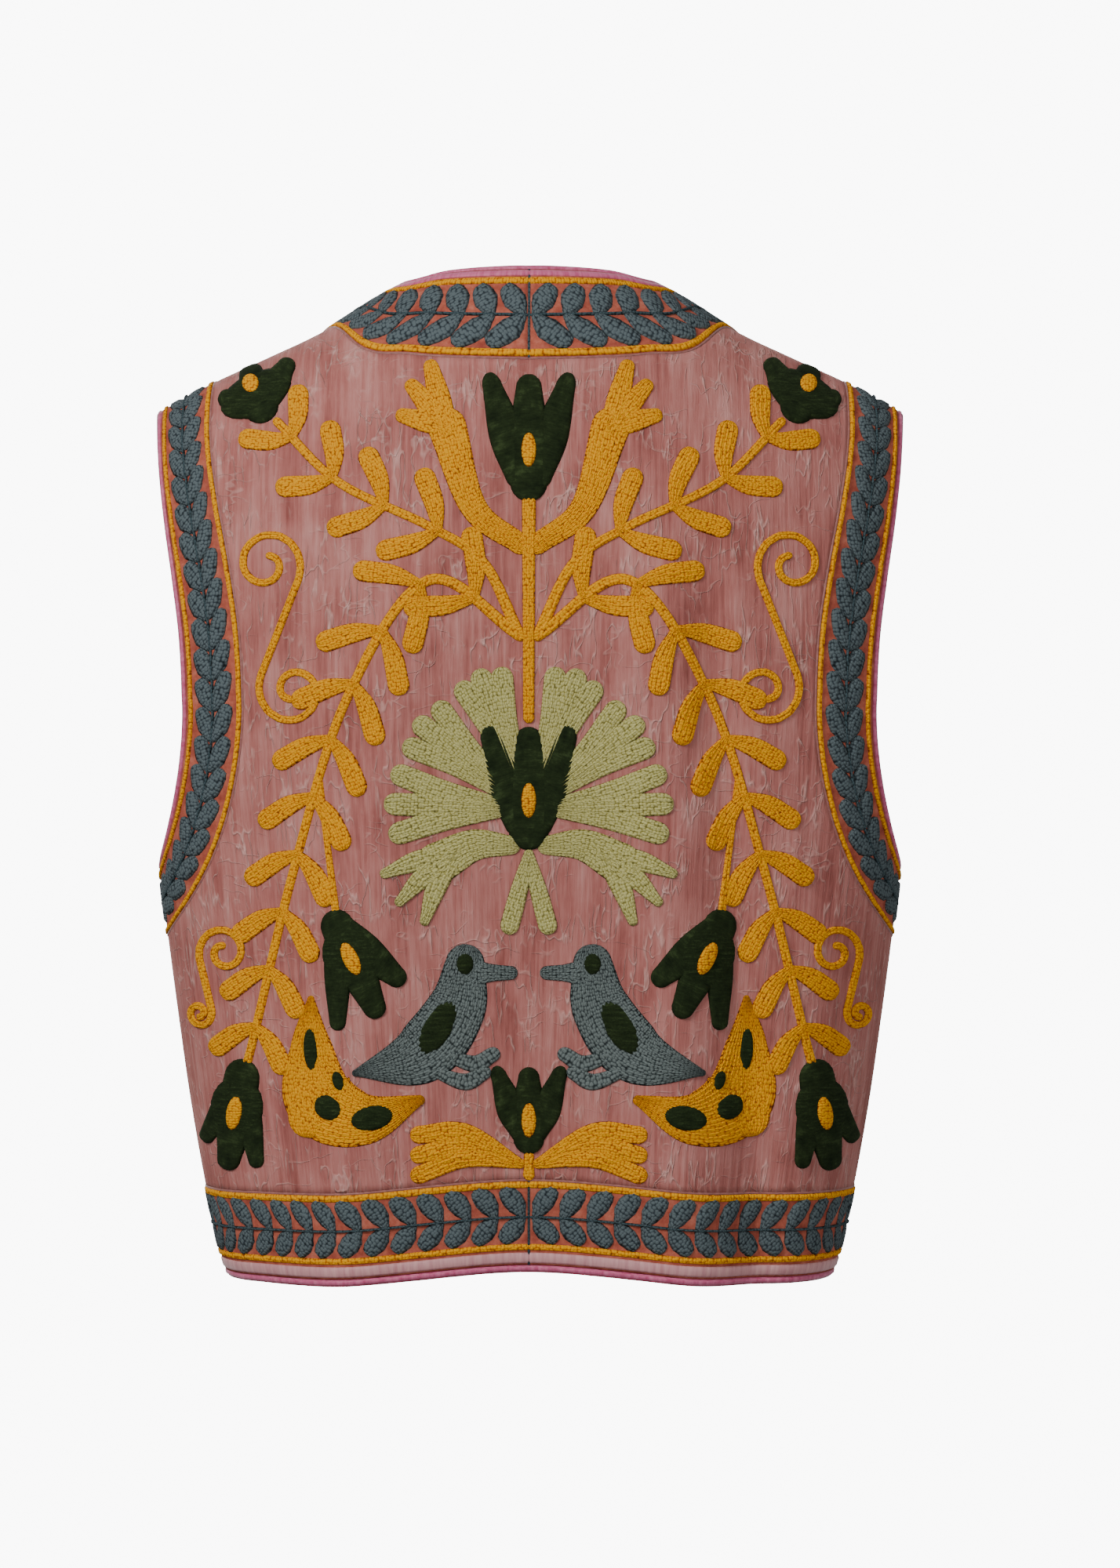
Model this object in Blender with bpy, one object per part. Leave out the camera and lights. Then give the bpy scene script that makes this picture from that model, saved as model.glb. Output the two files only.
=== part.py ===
"""Embroidered sleeveless waistcoat in the hollow form it has when it is worn.

The wearer faces -Y and +X is the wearer's left. The origin lies between the two shoulders, at the
height where the garment rests on them, and the garment hangs below it. Sizes are in millimetres
until a mesh is made.

The cloth is worked out on four quarter sheets (back and front, left and right). A quarter is laid
out flat as (girth, rise): girth runs from the centre line round to the side seam, and rise runs up
the cloth from the blade line, negative below it. Every edge is drawn on that flat layout, as a
cutter would, and then taken to its place on the body form.
"""

import math

import bmesh
import bpy
import numpy as np

MM = 0.001

# Cloth and trims
PANEL_CLOTH = 2.0
BAND_CLOTH = 2.4
SEAM_GAP = 0.3
PIPING_RADIUS = 1.7
PIPING_SIDES = 4
APPLIQUE_LIFT = 0.45
APPLIQUE_CLOTH = 1.3
HEM_BAND = 47.0
ARMHOLE_BAND = 37.0
FRONT_GAP = 4.0

# Level rings of the body form below the blade line: a ring is |x/width|^p + |y/depth|^p = 1.
BLADE_HEIGHT = -200.0
HEM_HEIGHT = -527.0
RING_POWER = 2.3
RINGS = (
    # height, half width, back depth, front depth
    (-540, 169, 103, 100),
    (-527, 174, 104, 101),
    (-500, 181, 105, 103),
    (-476, 186, 106, 105),
    (-431, 194, 107, 109),
    (-386, 200.5, 108, 113),
    (-341, 206.5, 109, 117),
    (-296, 212, 110, 119),
    (-250, 218, 111, 118),
    (-200, 222, 112, 115),
)

# Above the blade line every column keeps its distance from the centre and rolls over to the ridge.
RIDGE_DEPTH = -5.0
ROLL_RISE_POWER = 2.8
ROLL_DEPTH_POWER = 2.6
RIDGE = (
    # distance from centre, height
    (-50, 47),
    (0, 60),
    (50, 47),
    (84, 28),
    (118, 7),
    (150, -8),
    (181, -22),
    (210, -37),
    (240, -50),
)

# Soft folds of the hanging cloth: outward height of a long ridge, or a hollow if it is negative.
FOLDS = (
    # face, x at top, x at bottom, top, bottom, half width, height at top, height at bottom
    ("back", 66, 106, -110, -540, 25, 3.0, 8.0),
    ("back", -69, -90, -110, -540, 22, 4.0, 8.0),
    ("back", 133, 152, -150, -420, 15, -3.5, -4.0),
    ("back", -97, -124, -150, -450, 12, -4.0, -5.0),
    ("back", 0, 4, -300, -560, 40, -2.0, -9.0),
    ("back", 158, 160, -330, -560, 17, 2.0, 3.5),
    ("back", -156, -160, -330, -560, 17, 2.0, 3.0),
    ("front", 96, 112, -230, -540, 24, 4.0, 8.0),
    ("front", -92, -104, -210, -540, 26, 3.5, 9.0),
    ("front", 144, 150, -260, -500, 15, -3.0, -4.0),
    ("front", -138, -150, -280, -520, 16, -3.5, -3.0),
    ("front", 50, 52, -300, -560, 20, -2.0, -4.0),
    ("front", -48, -54, -280, -560, 20, -2.0, -5.0),
)
FOLD_FADE = 60.0
HEM_FOLD = 0.45

# Hem line: how much higher it hangs than its lowest level, by distance from the centre.
HEM_RISE = (
    # face, at centre, at fold, at side
    ("back", 11, 3, 0),
    ("front", 4, 3, 0),
)

# Armhole edge, set in from the side seam: a quarter ellipse under the arm, deepest at the blade line,
# which eases out above it to a straight stretch over the shoulder. Rises are from the blade line.
ARMHOLE_DROP = 102.0
ARMHOLE_DEPTH = {"back": 71.0, "front": 77.0}
ARMHOLE_SHOULDER_DEPTH = 48.0
ARMHOLE_EASE_RISE = 165.0
ARMHOLE_END_RISE = 245.0
ARMHOLE_ARC_STEPS = 7
ARMHOLE_EASE_STEPS = 5

# Where the armhole edge and the inner line of its band cross the shoulder ridge.
SHOULDER_EDGE = 210.0
SHOULDER_INNER = 179.0

# Neck edge and the inner line of its band: distance from centre and height. None is the ridge.
NECK_BACK = (
    # edge across, edge height, inner across, inner height
    (0, 36, 0, -17),
    (24, 36, 33, -16),
    (47, 35, 65, -13),
    (68, 32, 96, -6),
    (84, None, 121, None),
)
NECK_FRONT = (
    (84, None, 121, None),
    (83, 2, 122, -22),
    (77, -42, 118, -66),
    (65, -88, 107, -114),
    (46, -135, 90, -160),
    (24, -180, 70, -204),
    (7, -226, 57, -240),
    (FRONT_GAP, -275, 52, -280),
    (FRONT_GAP, -370, 51, -370),
    (FRONT_GAP, -479, 51, -479),
)

# Motifs sewn thick on the back. A stroke has its start, middle and end as (distance from the centre
# towards the left, height), and its width at those three places. Motifs are set out to the nearest
# five millimetres, apart from strokes that start just clear of a neighbour.
CUTTER_NEAR = 12.0
CUTTER_FAR = 170.0
STROKE_STEPS = 2
CAP_REACH = 0.8

# Tulips stand on the centre line, with a middle petal and a slimmer one leaning out on each side.
TULIPS = (
    # node, foot, tip, spread of the side petals, width of the middle petal
    ("tulip_top", -95, -25, 25, 24),
    ("tulip_centre", -285, -220, 25, 26),
    ("tulip_bottom", -455, -405, 20, 20),
)
PETAL_FOOT = 0.7
PETAL_BELLY = 0.9
PETAL_TIP = 0.6
SIDE_PETAL = 0.72
SIDE_PETAL_PLACES = (0.28, 0.5, 0.8)
SIDE_PETAL_WIDTHS = (0.8, 1.0, 0.6)
TULIP_FOOT_IN = 4.0
TULIP_TIP_IN = 7.0

# Smaller flowers: every one has three petals from one foot.
FLOWERS = (
    # node, foot across, foot height, heading, then the turn, length and width of each petal
    ("shoulder_flower", 150, -40, 65, (-50, 20, 20), (5, 22, 24), (55, 26, 20)),
    ("side_flower", 160, -415, -80, (-20, 46, 16), (0, 46, 24), (22, 40, 16)),
    ("bell", 105, -330, -115, (-25, 42, 20), (0, 48, 22), (25, 52, 16)),
)

# Palmette leaves widen outwards from a ring round the palmette's centre.
FAN_CENTRE = (0.0, -265.0)
FAN_INNER = 25.0
FAN_FOOT = 0.3
FAN_MIDDLE = 0.65
FAN_LEAVES = (
    # node, heading, length, width at the tip
    ("fan_top", 70, 44, 32),
    ("fan_upper", 38, 42, 34),
    ("fan_side", 2, 42, 42),
    ("fan_lower", -40, 50, 28),
    ("fan_leg", -80, 40, 12),
)

# Vines: a stem through a few places, with pairs of club-shaped leaves at an even pitch.
UPPER_VINE = ((5, -170), (25, -130), (55, -110), (105, -85), (140, -50))
LOWER_VINE = ((5, -170), (55, -140), (100, -205), (130, -300), (155, -400))
UPPER_FIRST_LEAF = 60.0
LOWER_FIRST_LEAF = 65.0
VINE_STRETCH = 75.0
VINE_WIDTH = 5.0
VINE_FOOT_WIDTH = 7.0
VINE_LAP = 0.1
VINE_BARE_END = 20.0
LEAF_PITCH = 33.0
LEAF_LENGTH = 34.0
LEAF_LENGTH_END = 24.0
LEAF_WIDTH = 12.5
LEAF_FOOT = 0.4
LEAF_TIP = 0.8
LEAF_TURN = 48.0

# Crescent behind each bird's tail: a bent line of places, thickest at its lower corner.
CRESCENT = ((120, -370), (120, -395), (115, -425), (90, -435), (60, -425))
CRESCENT_WIDTHS = (4, 24, 42, 30, 6)

MOTIF_NODES = (
    # node, finish, one on each side, motifs that lie over it
    ("tulip_top", "green", False, ()),
    ("tulip_centre", "green", False, ()),
    ("tulip_bottom", "green", False, ()),
    ("shoulder_flower", "green", True, ()),
    ("side_flower", "green", True, ()),
    ("bell", "green", True, ()),
    ("fan_top", "pale", True, ("tulip_centre", "stem")),
    ("fan_upper", "pale", True, ("tulip_centre",)),
    ("fan_side", "pale", True, ("tulip_centre",)),
    ("fan_lower", "pale", True, ("tulip_centre",)),
    ("fan_leg", "pale", True, ("tulip_centre",)),
    ("bird", "slate", True, ()),
    ("paisley", "mustard", True, ("bird", "bell")),
    ("base_leaf", "mustard", True, ("tulip_bottom",)),
    ("stem", "mustard", False, ()),
    ("spray", "mustard", True, ("stem",)),
)

MIRRORED = {row[0] for row in MOTIF_NODES if row[2]}

# Grid counts
SHEET_STEPS = 60
BACK_COLUMNS = 10
FRONT_COLUMNS = 6
SIDE_COLUMNS = 3
LOW_ROWS = 8
HIGH_ROWS = 12
NECK_BACK_STEPS = 6
ARMHOLE_CORNER = 0.34
BAND_ROWS = 2
ARMHOLE_ROWS = 2
FRONT_BAND_COLUMNS = 3

FLAT_GIRTH = 262.0
LOW_LENGTH = BLADE_HEIGHT - RINGS[0][0]
RING_POINTS = 240
ROLL_POINTS = 200
LINE_POINTS = 240
WELD = 0.02


def curve_through(known, values, wanted):
    """Smooth curve through a table's values, with the slopes taken from its neighbours."""
    known = np.asarray(known, float)
    values = np.asarray(values, float)
    slope = np.gradient(values, known)
    cell = np.clip(np.searchsorted(known, wanted) - 1, 0, len(known) - 2)
    width = known[cell + 1] - known[cell]
    t = (wanted - known[cell]) / width
    rise = (3 * t**2 - 2 * t**3) * (values[cell + 1] - values[cell])
    lean = (t**3 - 2 * t**2 + t) * slope[cell] + (t**3 - t**2) * slope[cell + 1]
    return values[cell] + rise + lean * width


def path_lengths(points):
    """Distance along a line of points, from its first."""
    steps = np.linalg.norm(np.diff(points, axis=0), axis=1)
    return np.concatenate(([0.0], np.cumsum(steps)))


def resample(points, fractions):
    """Points at given fractions of a line's length."""
    along = path_lengths(points)
    wanted = np.asarray(fractions) * along[-1]
    return np.column_stack([np.interp(wanted, along, points[:, k]) for k in range(points.shape[1])])


def ring_quarter(height, face):
    """A quarter of a level ring, from the centre line to the side, at even steps of girth."""
    heights = [row[0] for row in RINGS]
    width = curve_through(heights, [row[1] for row in RINGS], height)
    depth = curve_through(heights, [row[2 if face == "back" else 3] for row in RINGS], height)
    turn = np.linspace(0, math.pi / 2, RING_POINTS)
    across = width * np.sin(turn) ** (2 / RING_POWER)
    out = depth * np.cos(turn) ** (2 / RING_POWER)
    return resample(np.column_stack((across, out)), np.linspace(0, 1, SHEET_STEPS + 1))


def ridge_height(across):
    """Height of the shoulder ridge at a distance from the centre."""
    return curve_through([row[0] for row in RIDGE], [row[1] for row in RIDGE], across)


def fold_height(face, side, across, height):
    """Outward height of all the folds of one face at a place on it."""
    total = np.zeros_like(across)
    for where, x_top, x_bottom, top, bottom, reach, high, low in FOLDS:
        if where != face:
            continue
        down = np.clip((top - height) / (top - bottom), 0, 1)
        middle = x_top + (x_bottom - x_top) * down
        fade = np.clip((top + FOLD_FADE - height) / (2 * FOLD_FADE), 0, 1)
        fade = fade * fade * (3 - 2 * fade)
        size = (high + (low - high) * down) * fade
        total += size * np.exp(-(((side * across - middle) / reach) ** 2))
    return total


def quarter_sheet(face, side):
    """Grid of body points of one quarter, and the length of each column above the blade line."""
    low_heights = np.linspace(RINGS[0][0], BLADE_HEIGHT, SHEET_STEPS + 1)
    low = np.zeros((SHEET_STEPS + 1, SHEET_STEPS + 1, 3))
    for row, height in enumerate(low_heights):
        low[:, row, :2] = ring_quarter(height, face)
        low[:, row, 2] = height
    base = low[:, -1]
    high = np.zeros_like(low)
    roll = np.linspace(0, math.pi / 2, ROLL_POINTS)
    lengths = np.zeros(SHEET_STEPS + 1)
    sign = 1 if face == "back" else -1
    for column in range(SHEET_STEPS + 1):
        across, out = base[column, :2]
        climb = (ridge_height(across) - BLADE_HEIGHT) * np.sin(roll) ** (2 / ROLL_RISE_POWER)
        start = out - sign * RIDGE_DEPTH
        depth = sign * RIDGE_DEPTH + start * np.cos(roll) ** (2 / ROLL_DEPTH_POWER)
        line = np.column_stack((np.full_like(roll, across), depth, BLADE_HEIGHT + climb))
        lengths[column] = path_lengths(line)[-1]
        high[column] = resample(line, np.linspace(0, 1, SHEET_STEPS + 1))
    grid = np.concatenate((low[:, :-1], high), axis=1)
    grid[:, :, 1] += fold_height(face, side, grid[:, :, 0], grid[:, :, 2])
    grid[:, :, 0] *= side
    grid[:, :, 1] *= sign
    return {
        "grid": grid,
        "normals": sheet_normals(grid, side * sign),
        "lengths": lengths,
        "face": face,
        "side": side,
    }


def sheet_normals(grid, turn):
    """Outward normals of a quarter, made to agree with its neighbours along the shared edges."""
    round_it = np.gradient(grid, axis=0)
    up_it = np.gradient(grid, axis=1)
    normals = np.cross(up_it, round_it) * turn
    normals[0, :, 0] = 0.0
    normals[-1, :, 1] = 0.0
    normals[:, -1, 1] = 0.0
    return normals / np.linalg.norm(normals, axis=2)[:, :, None]


def column_length(sheet, girth):
    """Length of the cloth from the blade line to the ridge."""
    columns = np.linspace(0, FLAT_GIRTH, SHEET_STEPS + 1)
    return np.interp(girth, columns, sheet["lengths"])


def place(sheet, flat, lift=0.0):
    """Body points of flat (girth, rise) points, lifted off the outer face of the cloth."""
    flat = np.atleast_2d(flat)
    girth = flat[:, 0]
    rise = flat[:, 1]
    share = np.where(rise < 0, rise / LOW_LENGTH, rise / column_length(sheet, girth))
    i = np.clip(girth / FLAT_GIRTH, 0, 1) * SHEET_STEPS
    j = np.clip((share + 1) * SHEET_STEPS, 0, 2 * SHEET_STEPS)
    i0 = np.minimum(i.astype(int), SHEET_STEPS - 1)
    j0 = np.minimum(j.astype(int), 2 * SHEET_STEPS - 1)
    s = (i - i0)[:, None]
    t = (j - j0)[:, None]
    lifted = sheet["grid"] + lift * sheet["normals"]
    lower = lifted[i0, j0] * (1 - s) + lifted[i0 + 1, j0] * s
    upper = lifted[i0, j0 + 1] * (1 - s) + lifted[i0 + 1, j0 + 1] * s
    return lower * (1 - t) + upper * t


def flat_of(sheet, across, height):
    """Flat (girth, rise) of a place seen from straight behind or in front; None is the ridge."""
    base = np.abs(sheet["grid"][:, SHEET_STEPS, 0])
    if height is not None and height < BLADE_HEIGHT:
        row = SHEET_STEPS + (height - BLADE_HEIGHT) / LOW_LENGTH * SHEET_STEPS
        base = np.abs(sheet["grid"][:, int(round(row)), 0])
    column = np.interp(across, base, np.arange(SHEET_STEPS + 1))
    girth = column / SHEET_STEPS * FLAT_GIRTH
    if height is None:
        return girth, column_length(sheet, girth)
    if height < BLADE_HEIGHT:
        return girth, height - BLADE_HEIGHT
    line = sheet["grid"][int(round(column)), SHEET_STEPS:, 2]
    share = np.interp(height, line, np.linspace(0, 1, SHEET_STEPS + 1))
    return girth, share * column_length(sheet, girth)


def spline(points):
    """Smooth flat line through control points, evenly numbered from first to last."""
    points = np.asarray(points, float)
    rows = np.arange(len(points))
    fine = np.linspace(0, len(points) - 1, LINE_POINTS)
    return np.column_stack([curve_through(rows, points[:, k], fine) for k in range(2)])


def cut_at_ridge(sheet, line):
    """The part of a flat line below the ridge, ended on the ridge."""
    over = line[:, 1] - column_length(sheet, line[:, 0])
    last = int(np.argmax(over > 0))
    share = -over[last - 1] / (over[last] - over[last - 1])
    end = line[last - 1] + (line[last] - line[last - 1]) * share
    return np.vstack((line[:last], end)), last - 1 + share


def meet_at_ridge(sheet, line, across):
    """Bend the upper part of a flat line so that it ends on the ridge at a distance from centre."""
    share = path_lengths(line) / path_lengths(line)[-1]
    girth = flat_of(sheet, across, None)[0]
    line[:, 0] += (girth - line[-1, 0]) * share**3
    line[-1, 1] = column_length(sheet, line[-1, 0])
    return line


def armhole_outline(depth):
    """Flat places along the armhole edge, from the side seam up past the shoulder."""
    places = []
    for turn in np.linspace(0, math.pi / 2, ARMHOLE_ARC_STEPS + 1):
        places.append((FLAT_GIRTH - depth * math.sin(turn), -ARMHOLE_DROP * math.cos(turn)))
    for part in np.linspace(0, 1, ARMHOLE_EASE_STEPS + 1)[1:]:
        eased = (1 - math.cos(math.pi * part)) / 2
        inset = depth + (ARMHOLE_SHOULDER_DEPTH - depth) * eased
        places.append((FLAT_GIRTH - inset, ARMHOLE_EASE_RISE * part))
    places.append((FLAT_GIRTH - ARMHOLE_SHOULDER_DEPTH, ARMHOLE_END_RISE))
    return places


def armhole_lines(sheet):
    """Edge and inner line of the armhole band from the side seam up to the ridge, and the place
    on the edge that lies square across the band from each inner point."""
    edge = spline(armhole_outline(ARMHOLE_DEPTH[sheet["face"]]))
    run = np.gradient(edge, axis=0)
    run /= np.linalg.norm(run, axis=1)[:, None]
    inner = edge + ARMHOLE_BAND * np.column_stack((-run[:, 1], run[:, 0]))
    inner[0, 0] = FLAT_GIRTH
    inner[:, 0] = np.minimum(inner[:, 0], FLAT_GIRTH)
    edge, edge_end = cut_at_ridge(sheet, edge)
    inner, inner_end = cut_at_ridge(sheet, inner)
    marks = np.append(np.arange(len(inner) - 1.0), inner_end)
    edge = meet_at_ridge(sheet, edge, SHOULDER_EDGE)
    inner = meet_at_ridge(sheet, inner, SHOULDER_INNER)
    return edge, inner, marks * edge_end / inner_end


def neck_lines(sheet):
    """Edge and inner line of the neck band on one quarter, as control rows of the flat layout."""
    rows = NECK_BACK if sheet["face"] == "back" else NECK_FRONT
    edge = spline([flat_of(sheet, row[0], row[1]) for row in rows])
    inner = spline([flat_of(sheet, row[2], row[3]) for row in rows])
    return edge, inner


def hem_line(sheet, girth):
    """Rise of the hem edge at distances round from the centre."""
    name, centre, fold, side = next(row for row in HEM_RISE if row[0] == sheet["face"])
    level = HEM_HEIGHT - BLADE_HEIGHT
    at_fold = FLAT_GIRTH * HEM_FOLD
    return level + curve_through(
        (-at_fold, 0, at_fold, FLAT_GIRTH), (fold, centre, fold, side), girth
    )


def coons(bottom, top, left, right):
    """Grid of flat points between four edge lines: columns by rows."""
    u = np.linspace(0, 1, len(bottom))[:, None, None]
    v = np.linspace(0, 1, len(left))[None, :, None]
    across = (1 - v) * bottom[:, None] + v * top[:, None]
    along = (1 - u) * left[None] + u * right[None]
    corners = (
        (1 - u) * (1 - v) * bottom[0]
        + u * (1 - v) * bottom[-1]
        + (1 - u) * v * top[0]
        + u * v * top[-1]
    )
    return across + along - corners


def straight(start, end, steps):
    """Evenly spaced flat points from start to end."""
    t = np.linspace(0, 1, steps + 1)[:, None]
    return np.asarray(start) * (1 - t) + np.asarray(end) * t


def quarter_layout(face, side):
    """Edges of the panel, the bands and the hem on one quarter, all at shared stations."""
    sheet = quarter_sheet(face, side)
    edge, inner, marks = armhole_lines(sheet)
    corner = int(len(inner) * ARMHOLE_CORNER)
    under = resample(inner[: corner + 1], np.linspace(1, 0, SIDE_COLUMNS + 1))
    over = resample(inner[corner:], np.linspace(0, 1, HIGH_ROWS + 1))
    armhole_inner = np.vstack((under[::-1], over[1:]))
    at_marks = np.interp(path_lengths(armhole_inner), path_lengths(inner), marks)
    rows = np.append(np.arange(len(edge) - 1.0), marks[-1])
    armhole_edge = np.column_stack([np.interp(at_marks, rows, edge[:, k]) for k in range(2)])
    neck_edge, neck_inner = neck_lines(sheet)
    if face == "front":
        for line in (neck_edge, neck_inner):
            line[-1, 1] = hem_line(sheet, line[-1, 0]) + HEM_BAND
    columns = BACK_COLUMNS if face == "back" else FRONT_COLUMNS
    if face == "back":
        neck_stations = np.linspace(0, 1, NECK_BACK_STEPS + 1)
        neck_top = resample(neck_inner, neck_stations)
        shoulder = straight(neck_inner[-1], over[-1], columns - NECK_BACK_STEPS)
        shoulder[:, 1] = column_length(sheet, shoulder[:, 0])
        top = np.vstack((neck_top, shoulder[1:]))
        middle = (0.0, under[0, 1])
        left_low = straight((0.0, hem_line(sheet, 0.0) + HEM_BAND), middle, LOW_ROWS)
        left_high = straight(middle, neck_inner[0], HIGH_ROWS)
    else:
        neck_stations = np.linspace(0, 1, LOW_ROWS + HIGH_ROWS + 1)
        left = resample(neck_inner, neck_stations)[::-1]
        left_low = left[: LOW_ROWS + 1]
        left_high = left[LOW_ROWS:]
        top = straight(neck_inner[0], over[-1], columns)
        top[:, 1] = column_length(sheet, top[:, 0])
        middle = left_high[0]
    waist = straight(middle, under[0], columns)
    inner_end = np.vstack((waist, under[1:]))
    start = left_low[0, 0]
    spread = (inner_end[:, 0] - inner_end[0, 0]) / (FLAT_GIRTH - inner_end[0, 0])
    bottom_girth = start + (FLAT_GIRTH - start) * spread
    bottom = np.column_stack((bottom_girth, hem_line(sheet, bottom_girth) + HEM_BAND))
    left_low[0] = bottom[0]
    right_low = straight(bottom[-1], under[-1], LOW_ROWS)
    return {
        "sheet": sheet,
        "low": coons(bottom, inner_end, left_low, right_low),
        "high": coons(waist, top, left_high, over),
        "armhole_inner": armhole_inner,
        "armhole_edge": armhole_edge,
        "neck_inner": resample(neck_inner, neck_stations),
        "neck_edge": resample(neck_edge, neck_stations),
        "hem_top": bottom,
    }


def tuck(sheet, points, seams):
    """Flat points kept half a seam gap inside the named seams: centre, side and shoulder."""
    half = SEAM_GAP / 2
    girth, rise = points[:, 0], points[:, 1]
    if "centre" in seams:
        girth = np.maximum(girth, half)
    if "side" in seams:
        girth = np.minimum(girth, FLAT_GIRTH - half)
    if "shoulder" in seams:
        rise = np.minimum(rise, column_length(sheet, girth) - half)
    return np.column_stack((girth, rise))


def body_grid(sheet, flat, thickness, seams, lift=0.0):
    """Outer and inner body points of a grid of flat points."""
    columns, rows = flat.shape[:2]
    points = tuck(sheet, flat.reshape(-1, 2), seams)
    outer = place(sheet, points, lift).reshape(columns, rows, 3)
    inner = place(sheet, points, lift - thickness).reshape(columns, rows, 3)
    return outer, inner


def add_grid(mesh, outer, inner):
    """Quads of one grid of outer points, each point keeping its place on the inner face."""
    behind = mesh.verts.layers.float_vector.get("inner")
    turn = np.cross(outer[1, 0] - outer[0, 0], outer[0, 1] - outer[0, 0])
    outward = np.dot(turn, outer[0, 0] - inner[0, 0]) > 0
    verts = []
    for line, inner_line in zip(outer, inner):
        verts.append([mesh.verts.new(point * MM) for point in line])
        for vert, point in zip(verts[-1], inner_line):
            vert[behind] = point * MM
    for i in range(len(verts) - 1):
        for j in range(len(verts[0]) - 1):
            loop = (verts[i][j], verts[i + 1][j], verts[i + 1][j + 1], verts[i][j + 1])
            mesh.faces.new(loop if outward else loop[::-1])


def close_wall(mesh):
    """Inner face and edges of a cloth wall, from the places kept by its outer points."""
    behind = mesh.verts.layers.float_vector.get("inner")
    outer_verts = list(mesh.verts)
    outer_faces = list(mesh.faces)
    rim = [edge for edge in mesh.edges if edge.is_boundary]
    rim_loops = []
    for edge in rim:
        loop = edge.link_loops[0]
        rim_loops.append((loop.vert, loop.link_loop_next.vert))
    partner = {vert: mesh.verts.new(vert[behind]) for vert in outer_verts}
    for face in outer_faces:
        mesh.faces.new([partner[vert] for vert in reversed(face.verts)])
    for first, second in rim_loops:
        mesh.faces.new((second, first, partner[first], partner[second]))


def material(name, colour, roughness):
    """Plain material of one cloth."""
    made = bpy.data.materials.new(name)
    made.use_nodes = True
    shader = made.node_tree.nodes["Principled BSDF"]
    shader.inputs["Base Color"].default_value = (*colour, 1.0)
    shader.inputs["Roughness"].default_value = roughness
    shader.inputs["Metallic"].default_value = 0.0
    return made


def new_object(name, mesh, finish, collection):
    """Object made from a bmesh, with its material."""
    mesh.normal_update()
    data = bpy.data.meshes.new(name)
    mesh.to_mesh(data)
    mesh.free()
    data.materials.append(finish)
    made = bpy.data.objects.new(name, data)
    collection.objects.link(made)
    return made


def cloth(name, grids, finish, collection):
    """Cloth piece: grids of outer and inner points, joined where they share an edge."""
    mesh = bmesh.new()
    mesh.verts.layers.float_vector.new("inner")
    for outer, inner in grids:
        add_grid(mesh, outer, inner)
    bmesh.ops.remove_doubles(mesh, verts=mesh.verts, dist=WELD * MM)
    close_wall(mesh)
    bmesh.ops.triangulate(mesh, faces=mesh.faces, quad_method="SHORT_EDGE")
    return new_object(name, mesh, finish, collection)


def strip(first, second, steps, gap_first=0.0, gap_second=0.0):
    """Grid between two matched flat lines, drawn in from either by a seam gap."""
    run = second - first
    unit = run / np.linalg.norm(run, axis=1)[:, None]
    start = first + unit * gap_first
    end = second - unit * gap_second
    t = np.linspace(0, 1, steps + 1)[None, :, None]
    return start[:, None] * (1 - t) + end[:, None] * t


def joined(back, front):
    """Two grids of one strip, with the front one starting on the back one's last points."""
    for back_points, front_points in zip(back, front):
        front_points[0] = back_points[-1]
    return [back, front]


def cord_line(grid, edge, thickness):
    """Centre line of a piping sewn along one edge of a band grid (its first or last row)."""
    outer, inner = grid
    beside = 1 if edge == 0 else -2
    middle = (outer[:, edge] + inner[:, edge]) / 2
    away = outer[:, edge] - outer[:, beside]
    away /= np.linalg.norm(away, axis=1)[:, None]
    return middle + away * (PIPING_RADIUS + SEAM_GAP)


def tube(name, route, closed, finish, collection):
    """Piping: a round cord along a route of body points, with flat ends."""
    curve = bpy.data.curves.new(name, "CURVE")
    curve.dimensions = "3D"
    line = curve.splines.new("POLY")
    line.points.add(len(route) - 1)
    for point, where in zip(line.points, route):
        point.co = (*(where * MM), 1.0)
    line.use_cyclic_u = closed
    curve.bevel_depth = PIPING_RADIUS * MM
    curve.bevel_resolution = (PIPING_SIDES - 4) // 2
    curve.use_fill_caps = True
    curve.materials.append(finish)
    made = bpy.data.objects.new(name, curve)
    collection.objects.link(made)
    return made


def twins(rows):
    """Strokes and their mirror images about the centre line."""
    flipped = [tuple((-x, z) for x, z in row[:3]) + (row[3],) for row in rows]
    return tuple(rows) + tuple(flipped)


def ray(foot, heading, length, widths):
    """Straight stroke from its foot, by heading in degrees and length."""
    turn = math.radians(heading)
    reach = [
        (foot[0] + math.cos(turn) * length * part, foot[1] + math.sin(turn) * length * part)
        for part in (0.0, 0.5, 1.0)
    ]
    return (*reach, widths)


def flower(foot, heading, petals):
    """Petals from one foot: turn from the heading, length and greatest width of each."""
    return tuple(
        ray(foot, heading + turn, length, (width * PETAL_FOOT, width, width * PETAL_TIP))
        for turn, length, width in petals
    )


def beside(centre, heading, distance):
    """Place at a distance from a centre, by heading in degrees."""
    turn = math.radians(heading)
    return (centre[0] + math.cos(turn) * distance, centre[1] + math.sin(turn) * distance)


def fan_leaf(heading, length, tip_width):
    """Leaf of the palmette, which widens away from the palmette's centre."""
    foot = beside(FAN_CENTRE, heading, FAN_INNER)
    return (ray(foot, heading, length, (tip_width * FAN_FOOT, tip_width * FAN_MIDDLE, tip_width)),)


def crescent():
    """Strokes end to end along the crescent's line."""
    return tuple(
        (*CRESCENT[i : i + 3], CRESCENT_WIDTHS[i : i + 3]) for i in range(0, len(CRESCENT) - 2, 2)
    )


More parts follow.
